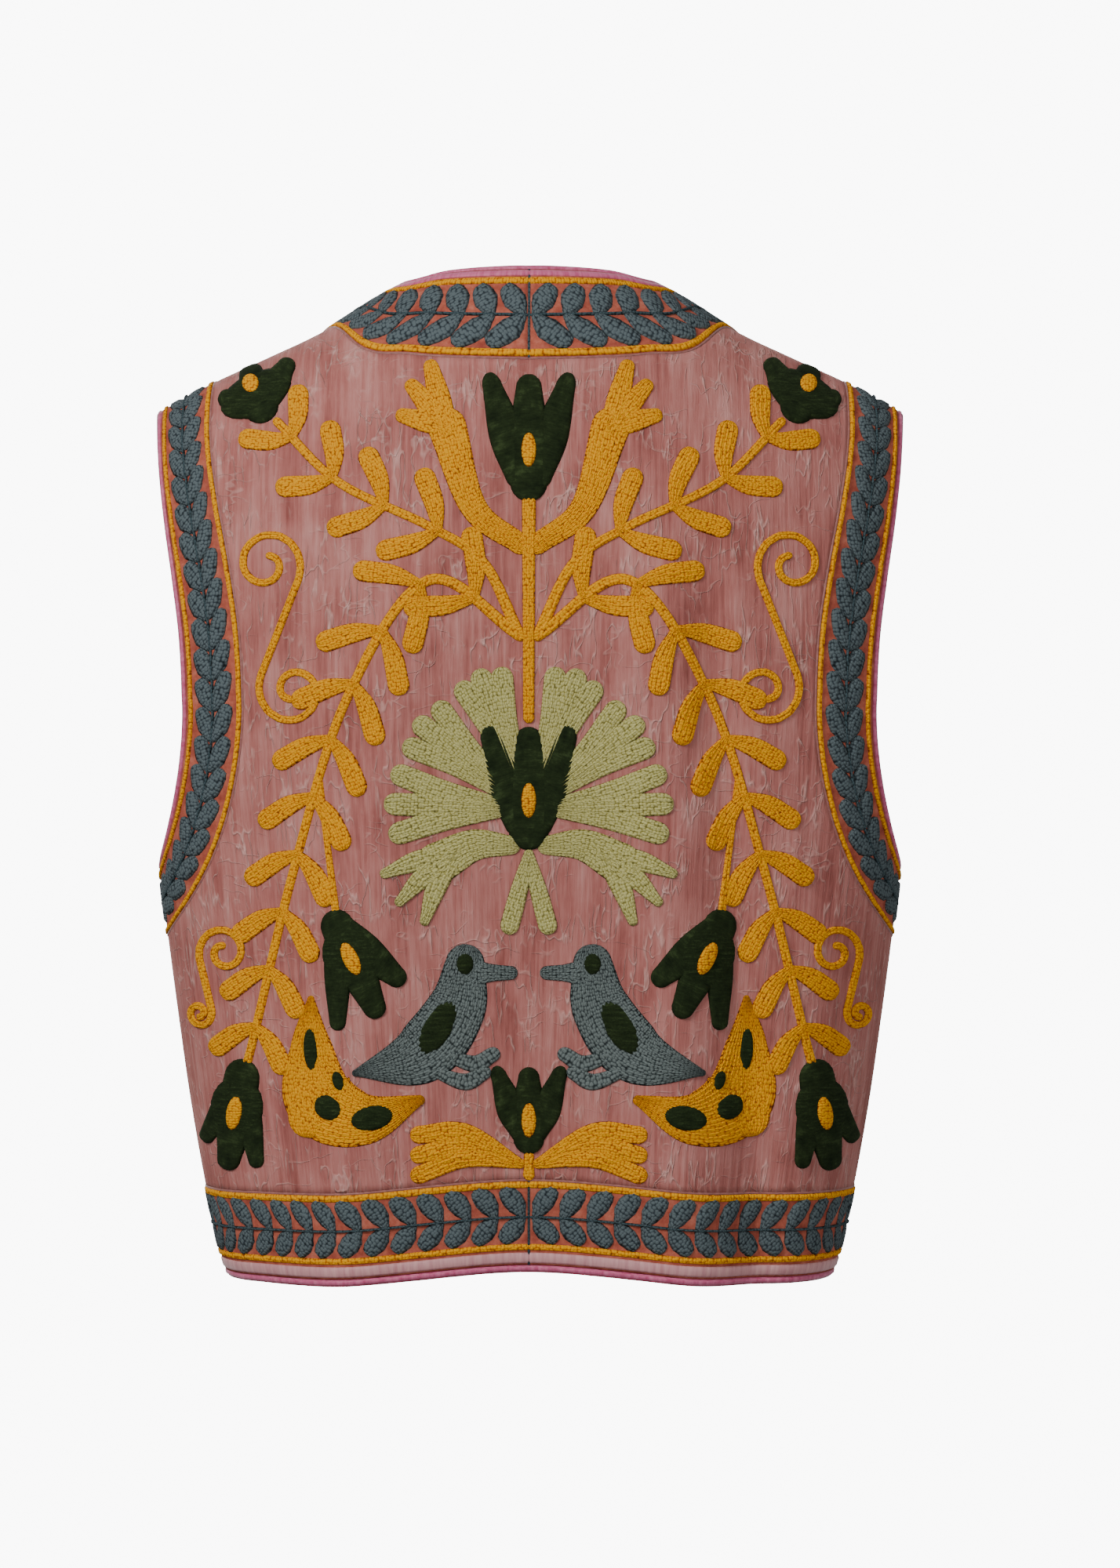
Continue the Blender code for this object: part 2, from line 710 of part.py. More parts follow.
def vine(route, first_leaf):
    """Stem through a few places, with pairs of club-shaped leaves at an even pitch, shorter to its end."""
    line = np.array(spline(route))
    run = path_lengths(line)
    places = np.arange(0.0, run[-1] + VINE_STRETCH, VINE_STRETCH / 2)
    places = np.linspace(0.0, run[-1], len(places) // 2 * 2 + 1)
    x = np.interp(places, run, line[:, 0])
    z = np.interp(places, run, line[:, 1])
    made = []
    for i in range(0, len(places) - 2, 2):
        start = VINE_FOOT_WIDTH if i == 0 else VINE_WIDTH
        lap = VINE_LAP if i else 0.0
        back = (x[i] - (x[i + 1] - x[i]) * lap, z[i] - (z[i + 1] - z[i]) * lap)
        ends = ((x[i + 1], z[i + 1]), (x[i + 2], z[i + 2]))
        made.append((back, *ends, (start, VINE_WIDTH, VINE_WIDTH)))
    for at in np.arange(first_leaf, run[-1] - VINE_BARE_END, LEAF_PITCH):
        foot = (np.interp(at, run, line[:, 0]), np.interp(at, run, line[:, 1]))
        ahead = (np.interp(at + 2, run, line[:, 0]), np.interp(at + 2, run, line[:, 1]))
        heading = math.degrees(math.atan2(ahead[1] - foot[1], ahead[0] - foot[0]))
        length = LEAF_LENGTH + (LEAF_LENGTH_END - LEAF_LENGTH) * at / run[-1]
        widths = (LEAF_WIDTH * LEAF_FOOT, LEAF_WIDTH, LEAF_WIDTH * LEAF_TIP)
        for turn in (LEAF_TURN, -LEAF_TURN):
            made.append(ray(foot, heading + turn, length, widths))
    return tuple(made)


def tulip(foot, tip, spread, width):
    """Upright three-petalled tulip on the centre line."""
    rises = (foot + TULIP_FOOT_IN, (foot + tip) / 2, tip - TULIP_TIP_IN)
    slim = width * SIDE_PETAL
    middle = tuple((0, rise) for rise in rises)
    side = tuple((spread * part, rise) for part, rise in zip(SIDE_PETAL_PLACES, rises))
    return (
        (*middle, tuple(width * part for part in (PETAL_FOOT, PETAL_BELLY, PETAL_TIP))),
        *twins(((*side, tuple(slim * part for part in SIDE_PETAL_WIDTHS)),)),
    )


def stroke_outline(start, middle, end, widths):
    """Closed outline of one stroke of applique: a bent spine with its width at three places."""
    along = np.linspace(0, 1, STROKE_STEPS + 1)
    knots = (0.0, 0.5, 1.0)
    spine = np.column_stack([curve_through(knots, (start[k], middle[k], end[k]), along) for k in (0, 1)])
    half = curve_through(knots, widths, along) / 2
    run = np.gradient(spine, axis=0)
    run /= np.linalg.norm(run, axis=1)[:, None]
    side = np.column_stack((-run[:, 1], run[:, 0])) * half[:, None]
    cap = run[-1] * half[-1] * CAP_REACH
    return np.vstack((spine - side, spine[-1:] + cap, (spine + side)[::-1]))


def prism(mesh, outline):
    """Upright wall-like block over an outline seen from behind, deep enough to cross the back."""
    near = [mesh.verts.new((x * MM, CUTTER_NEAR * MM, z * MM)) for x, z in outline]
    far = [mesh.verts.new((x * MM, CUTTER_FAR * MM, z * MM)) for x, z in outline]
    mesh.faces.new(near)
    mesh.faces.new(far[::-1])
    for i in range(len(near)):
        j = (i + 1) % len(near)
        mesh.faces.new((near[j], near[i], far[i], far[j]))


def applique_cutter(name, strokes, mirror, ease, collection):
    """Blocks of all the strokes of one motif; mirror is -1 for the other side's copy."""
    mesh = bmesh.new()
    for start, middle, end, widths in strokes:
        eased = [width + 2 * ease for width in widths]
        outline = stroke_outline(start, middle, end, eased) * (mirror, 1)
        prism(mesh, outline)
    bmesh.ops.recalc_face_normals(mesh, faces=mesh.faces)
    data = bpy.data.meshes.new(name)
    mesh.to_mesh(data)
    mesh.free()
    made = bpy.data.objects.new(name, data)
    made.hide_render = True
    made.display_type = "WIRE"
    collection.objects.link(made)
    return made


def applique(name, layer, strokes, mirror, covers, finish, collection, helpers):
    """Thick motif: the part of the layer over the back panel that lies inside its strokes."""
    made = bpy.data.objects.new(name, layer.copy())
    made.data.materials.clear()
    made.data.materials.append(finish)
    collection.objects.link(made)
    inside = made.modifiers.new("outline", "BOOLEAN")
    inside.operation = "INTERSECT"
    inside.solver = "EXACT"
    inside.use_self = True
    inside.object = applique_cutter("cut_" + name, strokes, mirror, 0.0, helpers)
    for cover, cover_mirror in covers:
        clear = made.modifiers.new("under_" + cover, "BOOLEAN")
        clear.operation = "DIFFERENCE"
        clear.solver = "EXACT"
        clear.use_self = True
        clear.object = applique_cutter(
            "clear_" + name + "_" + cover, MOTIFS[cover], cover_mirror, SEAM_GAP, helpers
        )
    return made


MOTIFS = {
    "bird": (
        ((95, -410), (60, -400), (40, -375), (4, 34, 26)),
        ray((40, -375), 105, 28, (26, 22, 20)),
        ray((30, -355), 180, 20, (12, 8, 4)),
        ray((40, -400), 180, 20, (6, 6, 7)),
        ray((50, -410), 200, 20, (6, 6, 7)),
    ),
    "paisley": crescent(),
    "base_leaf": (((5, -460), (35, -455), (60, -455), (8, 15, 24)),),
    "stem": (ray((0, -96), -90, 115, (6, 7, 6)),)
    + twins(
        (((5, -120), (30, -100), (45, -55), (12, 15, 22)),)
        + tuple(
            ray((45, -55), heading, length, (12, 13, 9))
            for heading, length in ((75, 35), (50, 30), (15, 25))
        )
    ),
    "spray": vine(UPPER_VINE, UPPER_FIRST_LEAF) + vine(LOWER_VINE, LOWER_FIRST_LEAF),
}
for name, *sizes in TULIPS:
    MOTIFS[name] = tulip(*sizes)
for name, across, height, heading, *petals in FLOWERS:
    MOTIFS[name] = flower((across, height), heading, petals)
for name, *sizes in FAN_LEAVES:
    MOTIFS[name] = fan_leaf(*sizes)

for old in list(bpy.data.objects):
    bpy.data.objects.remove(old, do_unlink=True)

garment = bpy.data.collections.new("embroidered_waistcoat")
bpy.context.scene.collection.children.link(garment)

helpers = bpy.data.collections.new("helpers")
bpy.context.scene.collection.children.link(helpers)

PINK_VELVET = material("dusty_pink_velvet", (0.46, 0.20, 0.18), 0.8)
BAND_SALMON = material("salmon_band_cloth", (0.58, 0.22, 0.16), 0.8)
PIPING_PINK = material("pink_piping_cord", (0.68, 0.14, 0.27), 0.6)
FINISHES = {
    "mustard": material("mustard_chain_stitch", (0.58, 0.26, 0.01), 0.7),
    "green": material("dark_green_felt", (0.012, 0.03, 0.012), 0.8),
    "pale": material("pale_green_chain_stitch", (0.47, 0.48, 0.17), 0.75),
    "slate": material("slate_grey_chain_stitch", (0.13, 0.19, 0.21), 0.75),
}

quarters = {}
for face in ("back", "front"):
    for side in (1, -1):
        quarters[face, side] = quarter_layout(face, side)

back_grids = []
layer_grids = []
for side in (1, -1):
    layout = quarters["back", side]
    sheet = layout["sheet"]
    for block in ("low", "high"):
        flat = layout[block]
        back_grids.append(body_grid(sheet, flat, PANEL_CLOTH, ("side", "shoulder")))
        lift = APPLIQUE_LIFT + APPLIQUE_CLOTH
        layer_grids.append(body_grid(sheet, flat, APPLIQUE_CLOTH, ("side", "shoulder"), lift))
cloth("back_panel", back_grids, PINK_VELVET, garment)

hem_cord = []
edge_cord = []
for side, word in ((1, "left"), (-1, "right")):
    back = quarters["back", side]
    front = quarters["front", side]

    seams = ("side", "shoulder")
    grids = [body_grid(front["sheet"], front[block], PANEL_CLOTH, seams) for block in ("low", "high")]
    cloth("front_panel_" + word, grids, PINK_VELVET, garment)

    band = []
    for layout in (back, front):
        flat = strip(layout["neck_edge"], layout["neck_inner"], BAND_ROWS, 0.0, SEAM_GAP)
        if layout is front:
            flat[-1, :, 1] += SEAM_GAP
        band.append(body_grid(layout["sheet"], flat, BAND_CLOTH, ("centre",)))
    cloth("neck_band_" + word, joined(*band), BAND_SALMON, garment)
    half_cord = np.vstack((cord_line(band[0], 0, BAND_CLOTH), cord_line(band[1], 0, BAND_CLOTH)[1:]))
    edge_cord.append(half_cord)

    band = []
    for layout in (back, front):
        flat = strip(layout["armhole_edge"], layout["armhole_inner"], ARMHOLE_ROWS, 0.0, SEAM_GAP)
        band.append(body_grid(layout["sheet"], flat, BAND_CLOTH, ("side",)))
    band[1] = tuple(points[::-1].copy() for points in band[1])
    cloth("armhole_band_" + word, joined(*band), BAND_SALMON, garment)
    ring = np.vstack((cord_line(band[0], 0, BAND_CLOTH), cord_line(band[1], 0, BAND_CLOTH)[1:-1]))
    tube("armhole_piping_" + word, ring, True, PIPING_PINK, garment)

    for layout, place_word in ((back, "back"), (front, "front")):
        top = layout["hem_top"]
        if layout is front:
            start = (FRONT_GAP, 0.0)
            extra = straight(start, (top[0, 0], 0.0), FRONT_BAND_COLUMNS)[:-1]
            extra[:, 1] = hem_line(layout["sheet"], extra[:, 0]) + HEM_BAND
            top = np.vstack((extra, top))
        edge = top - (0.0, HEM_BAND)
        flat = strip(edge, top, BAND_ROWS, 0.0, SEAM_GAP)
        grid = body_grid(layout["sheet"], flat, BAND_CLOTH, ("centre", "side"))
        cloth("hem_band_" + place_word + "_" + word, [grid], BAND_SALMON, garment)
        hem_cord.append(cord_line(grid, 0, BAND_CLOTH))
        if layout is front:
            upright = tuple(points.transpose(1, 0, 2) for points in grid)
            front_edge = cord_line(upright, 0, BAND_CLOTH)[::-1]
            edge_cord[-1] = np.vstack((edge_cord[-1], front_edge[1:]))

back_left, front_left, back_right, front_right = hem_cord
route = np.vstack((front_left[:-1], back_left[::-1], back_right[1:], front_right[::-1][1:]))
tube("hem_piping", route, False, PIPING_PINK, garment)
route = np.vstack((edge_cord[0][::-1], edge_cord[1][1:]))
tube("edge_piping", route, False, PIPING_PINK, garment)

layer = cloth("applique_layer", layer_grids, PINK_VELVET, helpers)
layer.hide_render = True
layer.display_type = "WIRE"

for name, finish, mirrored, covers in MOTIF_NODES:
    for side, word in ((1, "_left"), (-1, "_right")) if mirrored else ((1, ""),):
        cover_list = [(cover, side if cover in MIRRORED else 1) for cover in covers]
        applique(
            name + word, layer.data, MOTIFS[name], side, cover_list, FINISHES[finish], garment, helpers
        )
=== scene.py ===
import math

import bmesh
import bpy
import numpy as np
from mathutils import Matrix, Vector


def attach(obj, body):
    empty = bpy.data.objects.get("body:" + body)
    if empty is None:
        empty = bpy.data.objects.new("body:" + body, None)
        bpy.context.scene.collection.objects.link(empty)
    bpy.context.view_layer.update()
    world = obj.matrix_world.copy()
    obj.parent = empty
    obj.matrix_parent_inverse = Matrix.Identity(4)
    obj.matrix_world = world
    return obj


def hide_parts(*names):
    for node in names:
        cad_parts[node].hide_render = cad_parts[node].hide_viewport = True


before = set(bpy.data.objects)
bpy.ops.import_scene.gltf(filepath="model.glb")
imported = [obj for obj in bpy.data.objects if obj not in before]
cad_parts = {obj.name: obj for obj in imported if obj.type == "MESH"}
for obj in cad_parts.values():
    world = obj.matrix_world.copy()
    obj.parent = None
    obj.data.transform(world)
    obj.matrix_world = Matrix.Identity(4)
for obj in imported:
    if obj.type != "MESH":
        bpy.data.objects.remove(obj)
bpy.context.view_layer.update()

bpy.ops.object.select_all(action="DESELECT")

# ---------------------------------------------------------------------------------------------
# Back: one width of dusty pink crushed velvet, nearly straight at the hem and curved in at the arms.
# It hangs from the shoulders in long soft folds, with short creases where the embroidery draws it.
# ---------------------------------------------------------------------------------------------
MM = 0.001
VELVET_THICK = 2.0
BORDER_THICK = 2.4
SEAM_GAP = 0.3
HEM_BAND = 47.0
ARMHOLE_BAND = 37.0
FRONT_GAP = 4.0
BLADE_HEIGHT = -200.0
HEM_HEIGHT = -527.0
RING_POWER = 2.3
RINGS = (
    # height, half width, back depth, front depth
    (-540, 169, 103, 100),
    (-527, 174, 104, 101),
    (-500, 181, 105, 103),
    (-476, 186, 106, 105),
    (-431, 194, 107, 109),
    (-386, 200.5, 108, 113),
    (-341, 206.5, 109, 117),
    (-296, 212, 110, 119),
    (-250, 218, 111, 118),
    (-200, 222, 112, 115),
)
RIDGE_DEPTH = -5.0
ROLL_RISE_POWER = 2.8
ROLL_DEPTH_POWER = 2.6
RIDGE = (
    # distance from centre, height
    (-50, 47),
    (0, 60),
    (50, 47),
    (84, 28),
    (118, 7),
    (150, -8),
    (181, -22),
    (210, -37),
    (240, -50),
)
FOLDS = (
    # face, x at top, x at bottom, top, bottom, half width, height at top, height at bottom
    ("back", 66, 106, -110, -540, 25, 3.0, 8.0),
    ("back", -69, -90, -110, -540, 22, 4.0, 8.0),
    ("back", 133, 152, -150, -420, 15, -3.5, -4.0),
    ("back", -97, -124, -150, -450, 12, -4.0, -5.0),
    ("back", 0, 4, -300, -560, 40, -2.0, -9.0),
    ("back", 158, 160, -330, -560, 17, 2.0, 3.5),
    ("back", -156, -160, -330, -560, 17, 2.0, 3.0),
    ("front", 96, 112, -230, -540, 24, 4.0, 8.0),
    ("front", -92, -104, -210, -540, 26, 3.5, 9.0),
    ("front", 144, 150, -260, -500, 15, -3.0, -4.0),
    ("front", -138, -150, -280, -520, 16, -3.5, -3.0),
    ("front", 50, 52, -300, -560, 20, -2.0, -4.0),
    ("front", -48, -54, -280, -560, 20, -2.0, -5.0),
)
FOLD_FADE = 60.0
CREASE_BEND = 0.004
CREASES = (
    # face, x, height, heading in degrees, half length, half width, height out
    ("back", -112, -118, 78, 34, 4.0, 0.9),
    ("back", 118, -150, 98, 40, 4.5, -1.0),
    ("back", -60, -178, 84, 30, 3.5, 0.8),
    ("back", 66, -196, 102, 36, 4.0, 0.9),
    ("back", -92, -226, 96, 44, 4.0, -1.1),
    ("back", 96, -262, 82, 38, 4.0, -1.0),
    ("back", -22, -352, 72, 28, 4.0, 0.8),
    ("back", 26, -340, 108, 26, 3.5, -0.8),
    ("back", -74, -330, 62, 24, 3.5, 0.8),
    ("back", 150, -262, 88, 30, 4.0, 0.9),
    ("back", -148, -290, 94, 34, 4.0, 0.9),
    ("back", 176, -352, 84, 30, 4.5, -1.0),
    ("back", -176, -380, 98, 28, 4.5, -1.0),
    ("back", 38, -456, 12, 26, 4.0, 1.1),
    ("back", -34, -458, 168, 24, 4.0, 1.1),
    ("back", -140, -452, 30, 20, 4.0, 0.9),
    ("front", 84, -150, 80, 36, 4.0, 0.9),
    ("front", -96, -172, 98, 40, 4.5, -1.0),
    ("front", 122, -236, 92, 38, 4.0, 1.0),
    ("front", -128, -262, 84, 34, 4.0, 0.9),
    ("front", 92, -346, 76, 30, 4.0, -0.9),
    ("front", -82, -370, 104, 32, 4.0, 1.0),
    ("front", 150, -402, 88, 28, 4.5, -1.0),
    ("front", -152, -440, 94, 26, 4.0, 0.9),
)
HEM_RISE = {"back": (11, 3, 0), "front": (4, 3, 0)}  # at the centre, at a fold, at the side
HEM_FOLD = 0.45
ARMHOLE_DROP = 102.0
ARMHOLE_DEPTH = {"back": 71.0, "front": 77.0}
ARMHOLE_SHOULDER_DEPTH = 48.0
ARMHOLE_EASE_RISE = 165.0
ARMHOLE_END_RISE = 245.0
SHOULDER_EDGE = 210.0
SHOULDER_INNER = 179.0
NECK = {
    # edge across, edge height, inner across, inner height; None is the ridge
    "back": (
        (0, 36, 0, -17),
        (24, 36, 33, -16),
        (47, 35, 65, -13),
        (68, 32, 96, -6),
        (84, None, 121, None),
    ),
    "front": (
        (84, None, 121, None),
        (83, 2, 122, -22),
        (77, -42, 118, -66),
        (65, -88, 107, -114),
        (46, -135, 90, -160),
        (24, -180, 70, -204),
        (7, -226, 57, -240),
        (FRONT_GAP, -275, 52, -280),
        (FRONT_GAP, -370, 51, -370),
        (FRONT_GAP, -479, 51, -479),
    ),
}
FLAT_GIRTH = 262.0
LOW_LENGTH = BLADE_HEIGHT - RINGS[0][0]
FORM_STEPS = 150
PANEL_COLUMNS = {"back": 60, "front": 42}
SIDE_COLUMNS = 16
LOW_ROWS = 46
HIGH_ROWS = 68
NECK_STEPS = 36
ARMHOLE_CORNER = 0.34
LEVEL_STEPS = 80
RING_PLACES = 400
ROLL_PLACES = 300
LINE_PLACES = 240
ARC_PLACES = 8
EASE_PLACES = 6
WELD = 0.00002
FACES = ("back", "front")
HALVES = ((1, "left"), (-1, "right"))


def curve_through(known, values, wanted):
    """Smooth curve through a table's values."""
    known = np.asarray(known, float)
    values = np.asarray(values, float)
    slope = np.gradient(values, known)
    cell = np.clip(np.searchsorted(known, wanted) - 1, 0, len(known) - 2)
    width = known[cell + 1] - known[cell]
    t = (wanted - known[cell]) / width
    rise = (3 * t**2 - 2 * t**3) * (values[cell + 1] - values[cell])
    lean = (t**3 - 2 * t**2 + t) * slope[cell] + (t**3 - t**2) * slope[cell + 1]
    return values[cell] + rise + lean * width


def path_lengths(points):
    """Distance along a line of points, from its first."""
    return np.concatenate(([0.0], np.cumsum(np.linalg.norm(np.diff(points, axis=0), axis=1))))


def resample(points, fractions):
    """Points at given fractions of a line's length."""
    along = path_lengths(points)
    wanted = np.asarray(fractions) * along[-1]
    return np.column_stack([np.interp(wanted, along, points[:, k]) for k in range(points.shape[1])])


def ring_quarter(height, face):
    """A quarter of a level ring, from the centre line to the side."""
    heights = [row[0] for row in RINGS]
    width = curve_through(heights, [row[1] for row in RINGS], height)
    depth = curve_through(heights, [row[2 if face == "back" else 3] for row in RINGS], height)
    turn = np.linspace(0, math.pi / 2, RING_PLACES)
    ring = np.column_stack(
        (width * np.sin(turn) ** (2 / RING_POWER), depth * np.cos(turn) ** (2 / RING_POWER))
    )
    return resample(ring, np.linspace(0, 1, FORM_STEPS + 1))


def fold_height(face, side, across, height):
    """Outward height of the long folds and the short creases at a place."""
    total = np.zeros_like(across)
    for where, x_top, x_bottom, top, bottom, reach, high, low in FOLDS:
        if where == face:
            down = np.clip((top - height) / (top - bottom), 0, 1)
            middle = x_top + (x_bottom - x_top) * down
            fade = np.clip((top + FOLD_FADE - height) / (2 * FOLD_FADE), 0, 1)
            fade = fade * fade * (3 - 2 * fade)
            size = (high + (low - high) * down) * fade
            total += size * np.exp(-(((side * across - middle) / reach) ** 2))
    for where, x, z, heading, half_length, half_width, size in CREASES:
        if where == face:
            turn = math.radians(heading)
            along = (side * across - x) * math.cos(turn) + (height - z) * math.sin(turn)
            aside = (height - z) * math.cos(turn) - (side * across - x) * math.sin(turn)
            aside = aside + CREASE_BEND * along**2
            total += size * np.exp(-((along / half_length) ** 2) - (aside / half_width) ** 2)
    return total


def quarter_sheet(face, side):
    """Form of one quarter: body points, outward normals and column lengths above the blade line."""
    steps = FORM_STEPS
    low = np.zeros((steps + 1, steps + 1, 3))
    for row, height in enumerate(np.linspace(RINGS[0][0], BLADE_HEIGHT, steps + 1)):
        low[:, row, :2] = ring_quarter(height, face)
        low[:, row, 2] = height
    high = np.zeros_like(low)
    roll = np.linspace(0, math.pi / 2, ROLL_PLACES)
    lengths = np.zeros(steps + 1)
    sign = 1 if face == "back" else -1
    for column in range(steps + 1):
        across, out = low[column, -1, :2]
        top = curve_through([row[0] for row in RIDGE], [row[1] for row in RIDGE], across)
        climb = (top - BLADE_HEIGHT) * np.sin(roll) ** (2 / ROLL_RISE_POWER)
        start = out - sign * RIDGE_DEPTH
        depth = sign * RIDGE_DEPTH + start * np.cos(roll) ** (2 / ROLL_DEPTH_POWER)
        line = np.column_stack((np.full_like(roll, across), depth, BLADE_HEIGHT + climb))
        lengths[column] = path_lengths(line)[-1]
        high[column] = resample(line, np.linspace(0, 1, steps + 1))
    grid = np.concatenate((low[:, :-1], high), axis=1)
    grid[:, :, 1] += fold_height(face, side, grid[:, :, 0], grid[:, :, 2])
    grid[:, :, 0] *= side
    grid[:, :, 1] *= sign
    normals = np.cross(np.gradient(grid, axis=1), np.gradient(grid, axis=0)) * side * sign
    normals[0, :, 0] = 0.0
    normals[-1, :, 1] = 0.0
    normals[:, -1, 1] = 0.0
    normals /= np.linalg.norm(normals, axis=2)[:, :, None]
    return {"grid": grid, "normals": normals, "lengths": lengths, "face": face, "side": side}


def column_length(sheet, girth):
    """Length of the cloth from the blade line to the ridge."""
    return np.interp(girth, np.linspace(0, FLAT_GIRTH, FORM_STEPS + 1), sheet["lengths"])


def between(table, i, j):
    """Values of a table at places between its rows and columns."""
    i0 = np.minimum(i.astype(int), table.shape[0] - 2)
    j0 = np.minimum(j.astype(int), table.shape[1] - 2)
    s, t = (i - i0)[:, None], (j - j0)[:, None]
    near = table[i0, j0] * (1 - s) * (1 - t) + table[i0 + 1, j0] * s * (1 - t)
    return near + table[i0, j0 + 1] * (1 - s) * t + table[i0 + 1, j0 + 1] * s * t


def place(sheet, flat, lift=0.0):
    """Body points of flat (girth, rise) points, lifted off the outer face of the cloth."""
    flat = np.atleast_2d(flat)
    girth, rise = flat[:, 0], flat[:, 1]
    share = np.where(rise < 0, rise / LOW_LENGTH, rise / column_length(sheet, girth))
    i = np.clip(girth / FLAT_GIRTH, 0, 1) * FORM_STEPS
    j = np.clip((share + 1) * FORM_STEPS, 0, 2 * FORM_STEPS)
    lift = np.broadcast_to(lift, girth.shape)[:, None]
    return between(sheet["grid"], i, j) + lift * between(sheet["normals"], i, j)


def flat_of(sheet, across, height):
    """Flat (girth, rise) of a place seen from straight behind or in front; None is the ridge."""
    base = np.abs(sheet["grid"][:, FORM_STEPS, 0])
    if height is not None and height < BLADE_HEIGHT:
        row = FORM_STEPS + (height - BLADE_HEIGHT) / LOW_LENGTH * FORM_STEPS
        base = np.abs(sheet["grid"][:, int(round(row)), 0])
    column = np.interp(across, base, np.arange(FORM_STEPS + 1))
    girth = column / FORM_STEPS * FLAT_GIRTH
    if height is None:
        return girth, column_length(sheet, girth)
    if height < BLADE_HEIGHT:
        return girth, height - BLADE_HEIGHT
    line = sheet["grid"][int(round(column)), FORM_STEPS:, 2]
    share = np.interp(height, line, np.linspace(0, 1, FORM_STEPS + 1))
    return girth, share * column_length(sheet, girth)


def spline(points, count=LINE_PLACES):
    """Smooth flat line through control points, evenly numbered from first to last."""
    points = np.asarray(points, float)
    known = np.linspace(0, 1, len(points))
    wanted = np.linspace(0, 1, count)
    return np.column_stack([curve_through(known, points[:, k], wanted) for k in (0, 1)])


def straight(start, end, steps):
    """Evenly spaced flat points from start to end."""
    t = np.linspace(0, 1, steps + 1)[:, None]
    return np.asarray(start) * (1 - t) + np.asarray(end) * t


def cut_at_ridge(sheet, line):
    """The part of a flat line below the ridge, ended on the ridge."""
    over = line[:, 1] - column_length(sheet, line[:, 0])
    last = int(np.argmax(over > 0))
    share = -over[last - 1] / (over[last] - over[last - 1])
    end = line[last - 1] + (line[last] - line[last - 1]) * share
    return np.vstack((line[:last], end)), last - 1 + share


def meet_at_ridge(sheet, line, across):
    """Bend the upper part of a flat line so that it ends on the ridge at a distance from centre."""
    share = path_lengths(line) / path_lengths(line)[-1]
    line[:, 0] += (flat_of(sheet, across, None)[0] - line[-1, 0]) * share**3
    line[-1, 1] = column_length(sheet, line[-1, 0])
    return line


def armhole_lines(sheet):
    """Edge and inner line of the armhole band up to the ridge, and the edge's places beside the inner."""
    depth = ARMHOLE_DEPTH[sheet["face"]]
    places = [
        (FLAT_GIRTH - depth * math.sin(turn), -ARMHOLE_DROP * math.cos(turn))
        for turn in np.linspace(0, math.pi / 2, ARC_PLACES)
    ]
    for part in np.linspace(0, 1, EASE_PLACES)[1:]:
        eased = (1 - math.cos(math.pi * part)) / 2
        inset = depth + (ARMHOLE_SHOULDER_DEPTH - depth) * eased
        places.append((FLAT_GIRTH - inset, ARMHOLE_EASE_RISE * part))
    places.append((FLAT_GIRTH - ARMHOLE_SHOULDER_DEPTH, ARMHOLE_END_RISE))
    edge = spline(places)
    run = np.gradient(edge, axis=0)
    run /= np.linalg.norm(run, axis=1)[:, None]
    inner = edge + ARMHOLE_BAND * np.column_stack((-run[:, 1], run[:, 0]))
    inner[0, 0] = FLAT_GIRTH
    inner[:, 0] = np.minimum(inner[:, 0], FLAT_GIRTH)
    edge, edge_end = cut_at_ridge(sheet, edge)
    inner, inner_end = cut_at_ridge(sheet, inner)
    marks = np.append(np.arange(len(inner) - 1.0), inner_end)
    edge = meet_at_ridge(sheet, edge, SHOULDER_EDGE)
    inner = meet_at_ridge(sheet, inner, SHOULDER_INNER)
    return edge, inner, marks * edge_end / inner_end


def hem_line(sheet, girth):
    """Rise of the hem edge at distances round from the centre."""
    centre, fold, side = HEM_RISE[sheet["face"]]
    at_fold = FLAT_GIRTH * HEM_FOLD
    stations = (-at_fold, 0, at_fold, FLAT_GIRTH)
    return HEM_HEIGHT - BLADE_HEIGHT + curve_through(stations, (fold, centre, fold, side), girth)


def coons(bottom, top, left, right):
    """Grid of flat points between four edge lines: columns by rows."""
    u = np.linspace(0, 1, len(bottom))[:, None, None]
    v = np.linspace(0, 1, len(left))[None, :, None]
    across = (1 - v) * bottom[:, None] + v * top[:, None]
    along = (1 - u) * left[None] + u * right[None]
    foot = (1 - u) * bottom[0] + u * bottom[-1]
    head = (1 - u) * top[0] + u * top[-1]
    return across + along - (1 - v) * foot - v * head


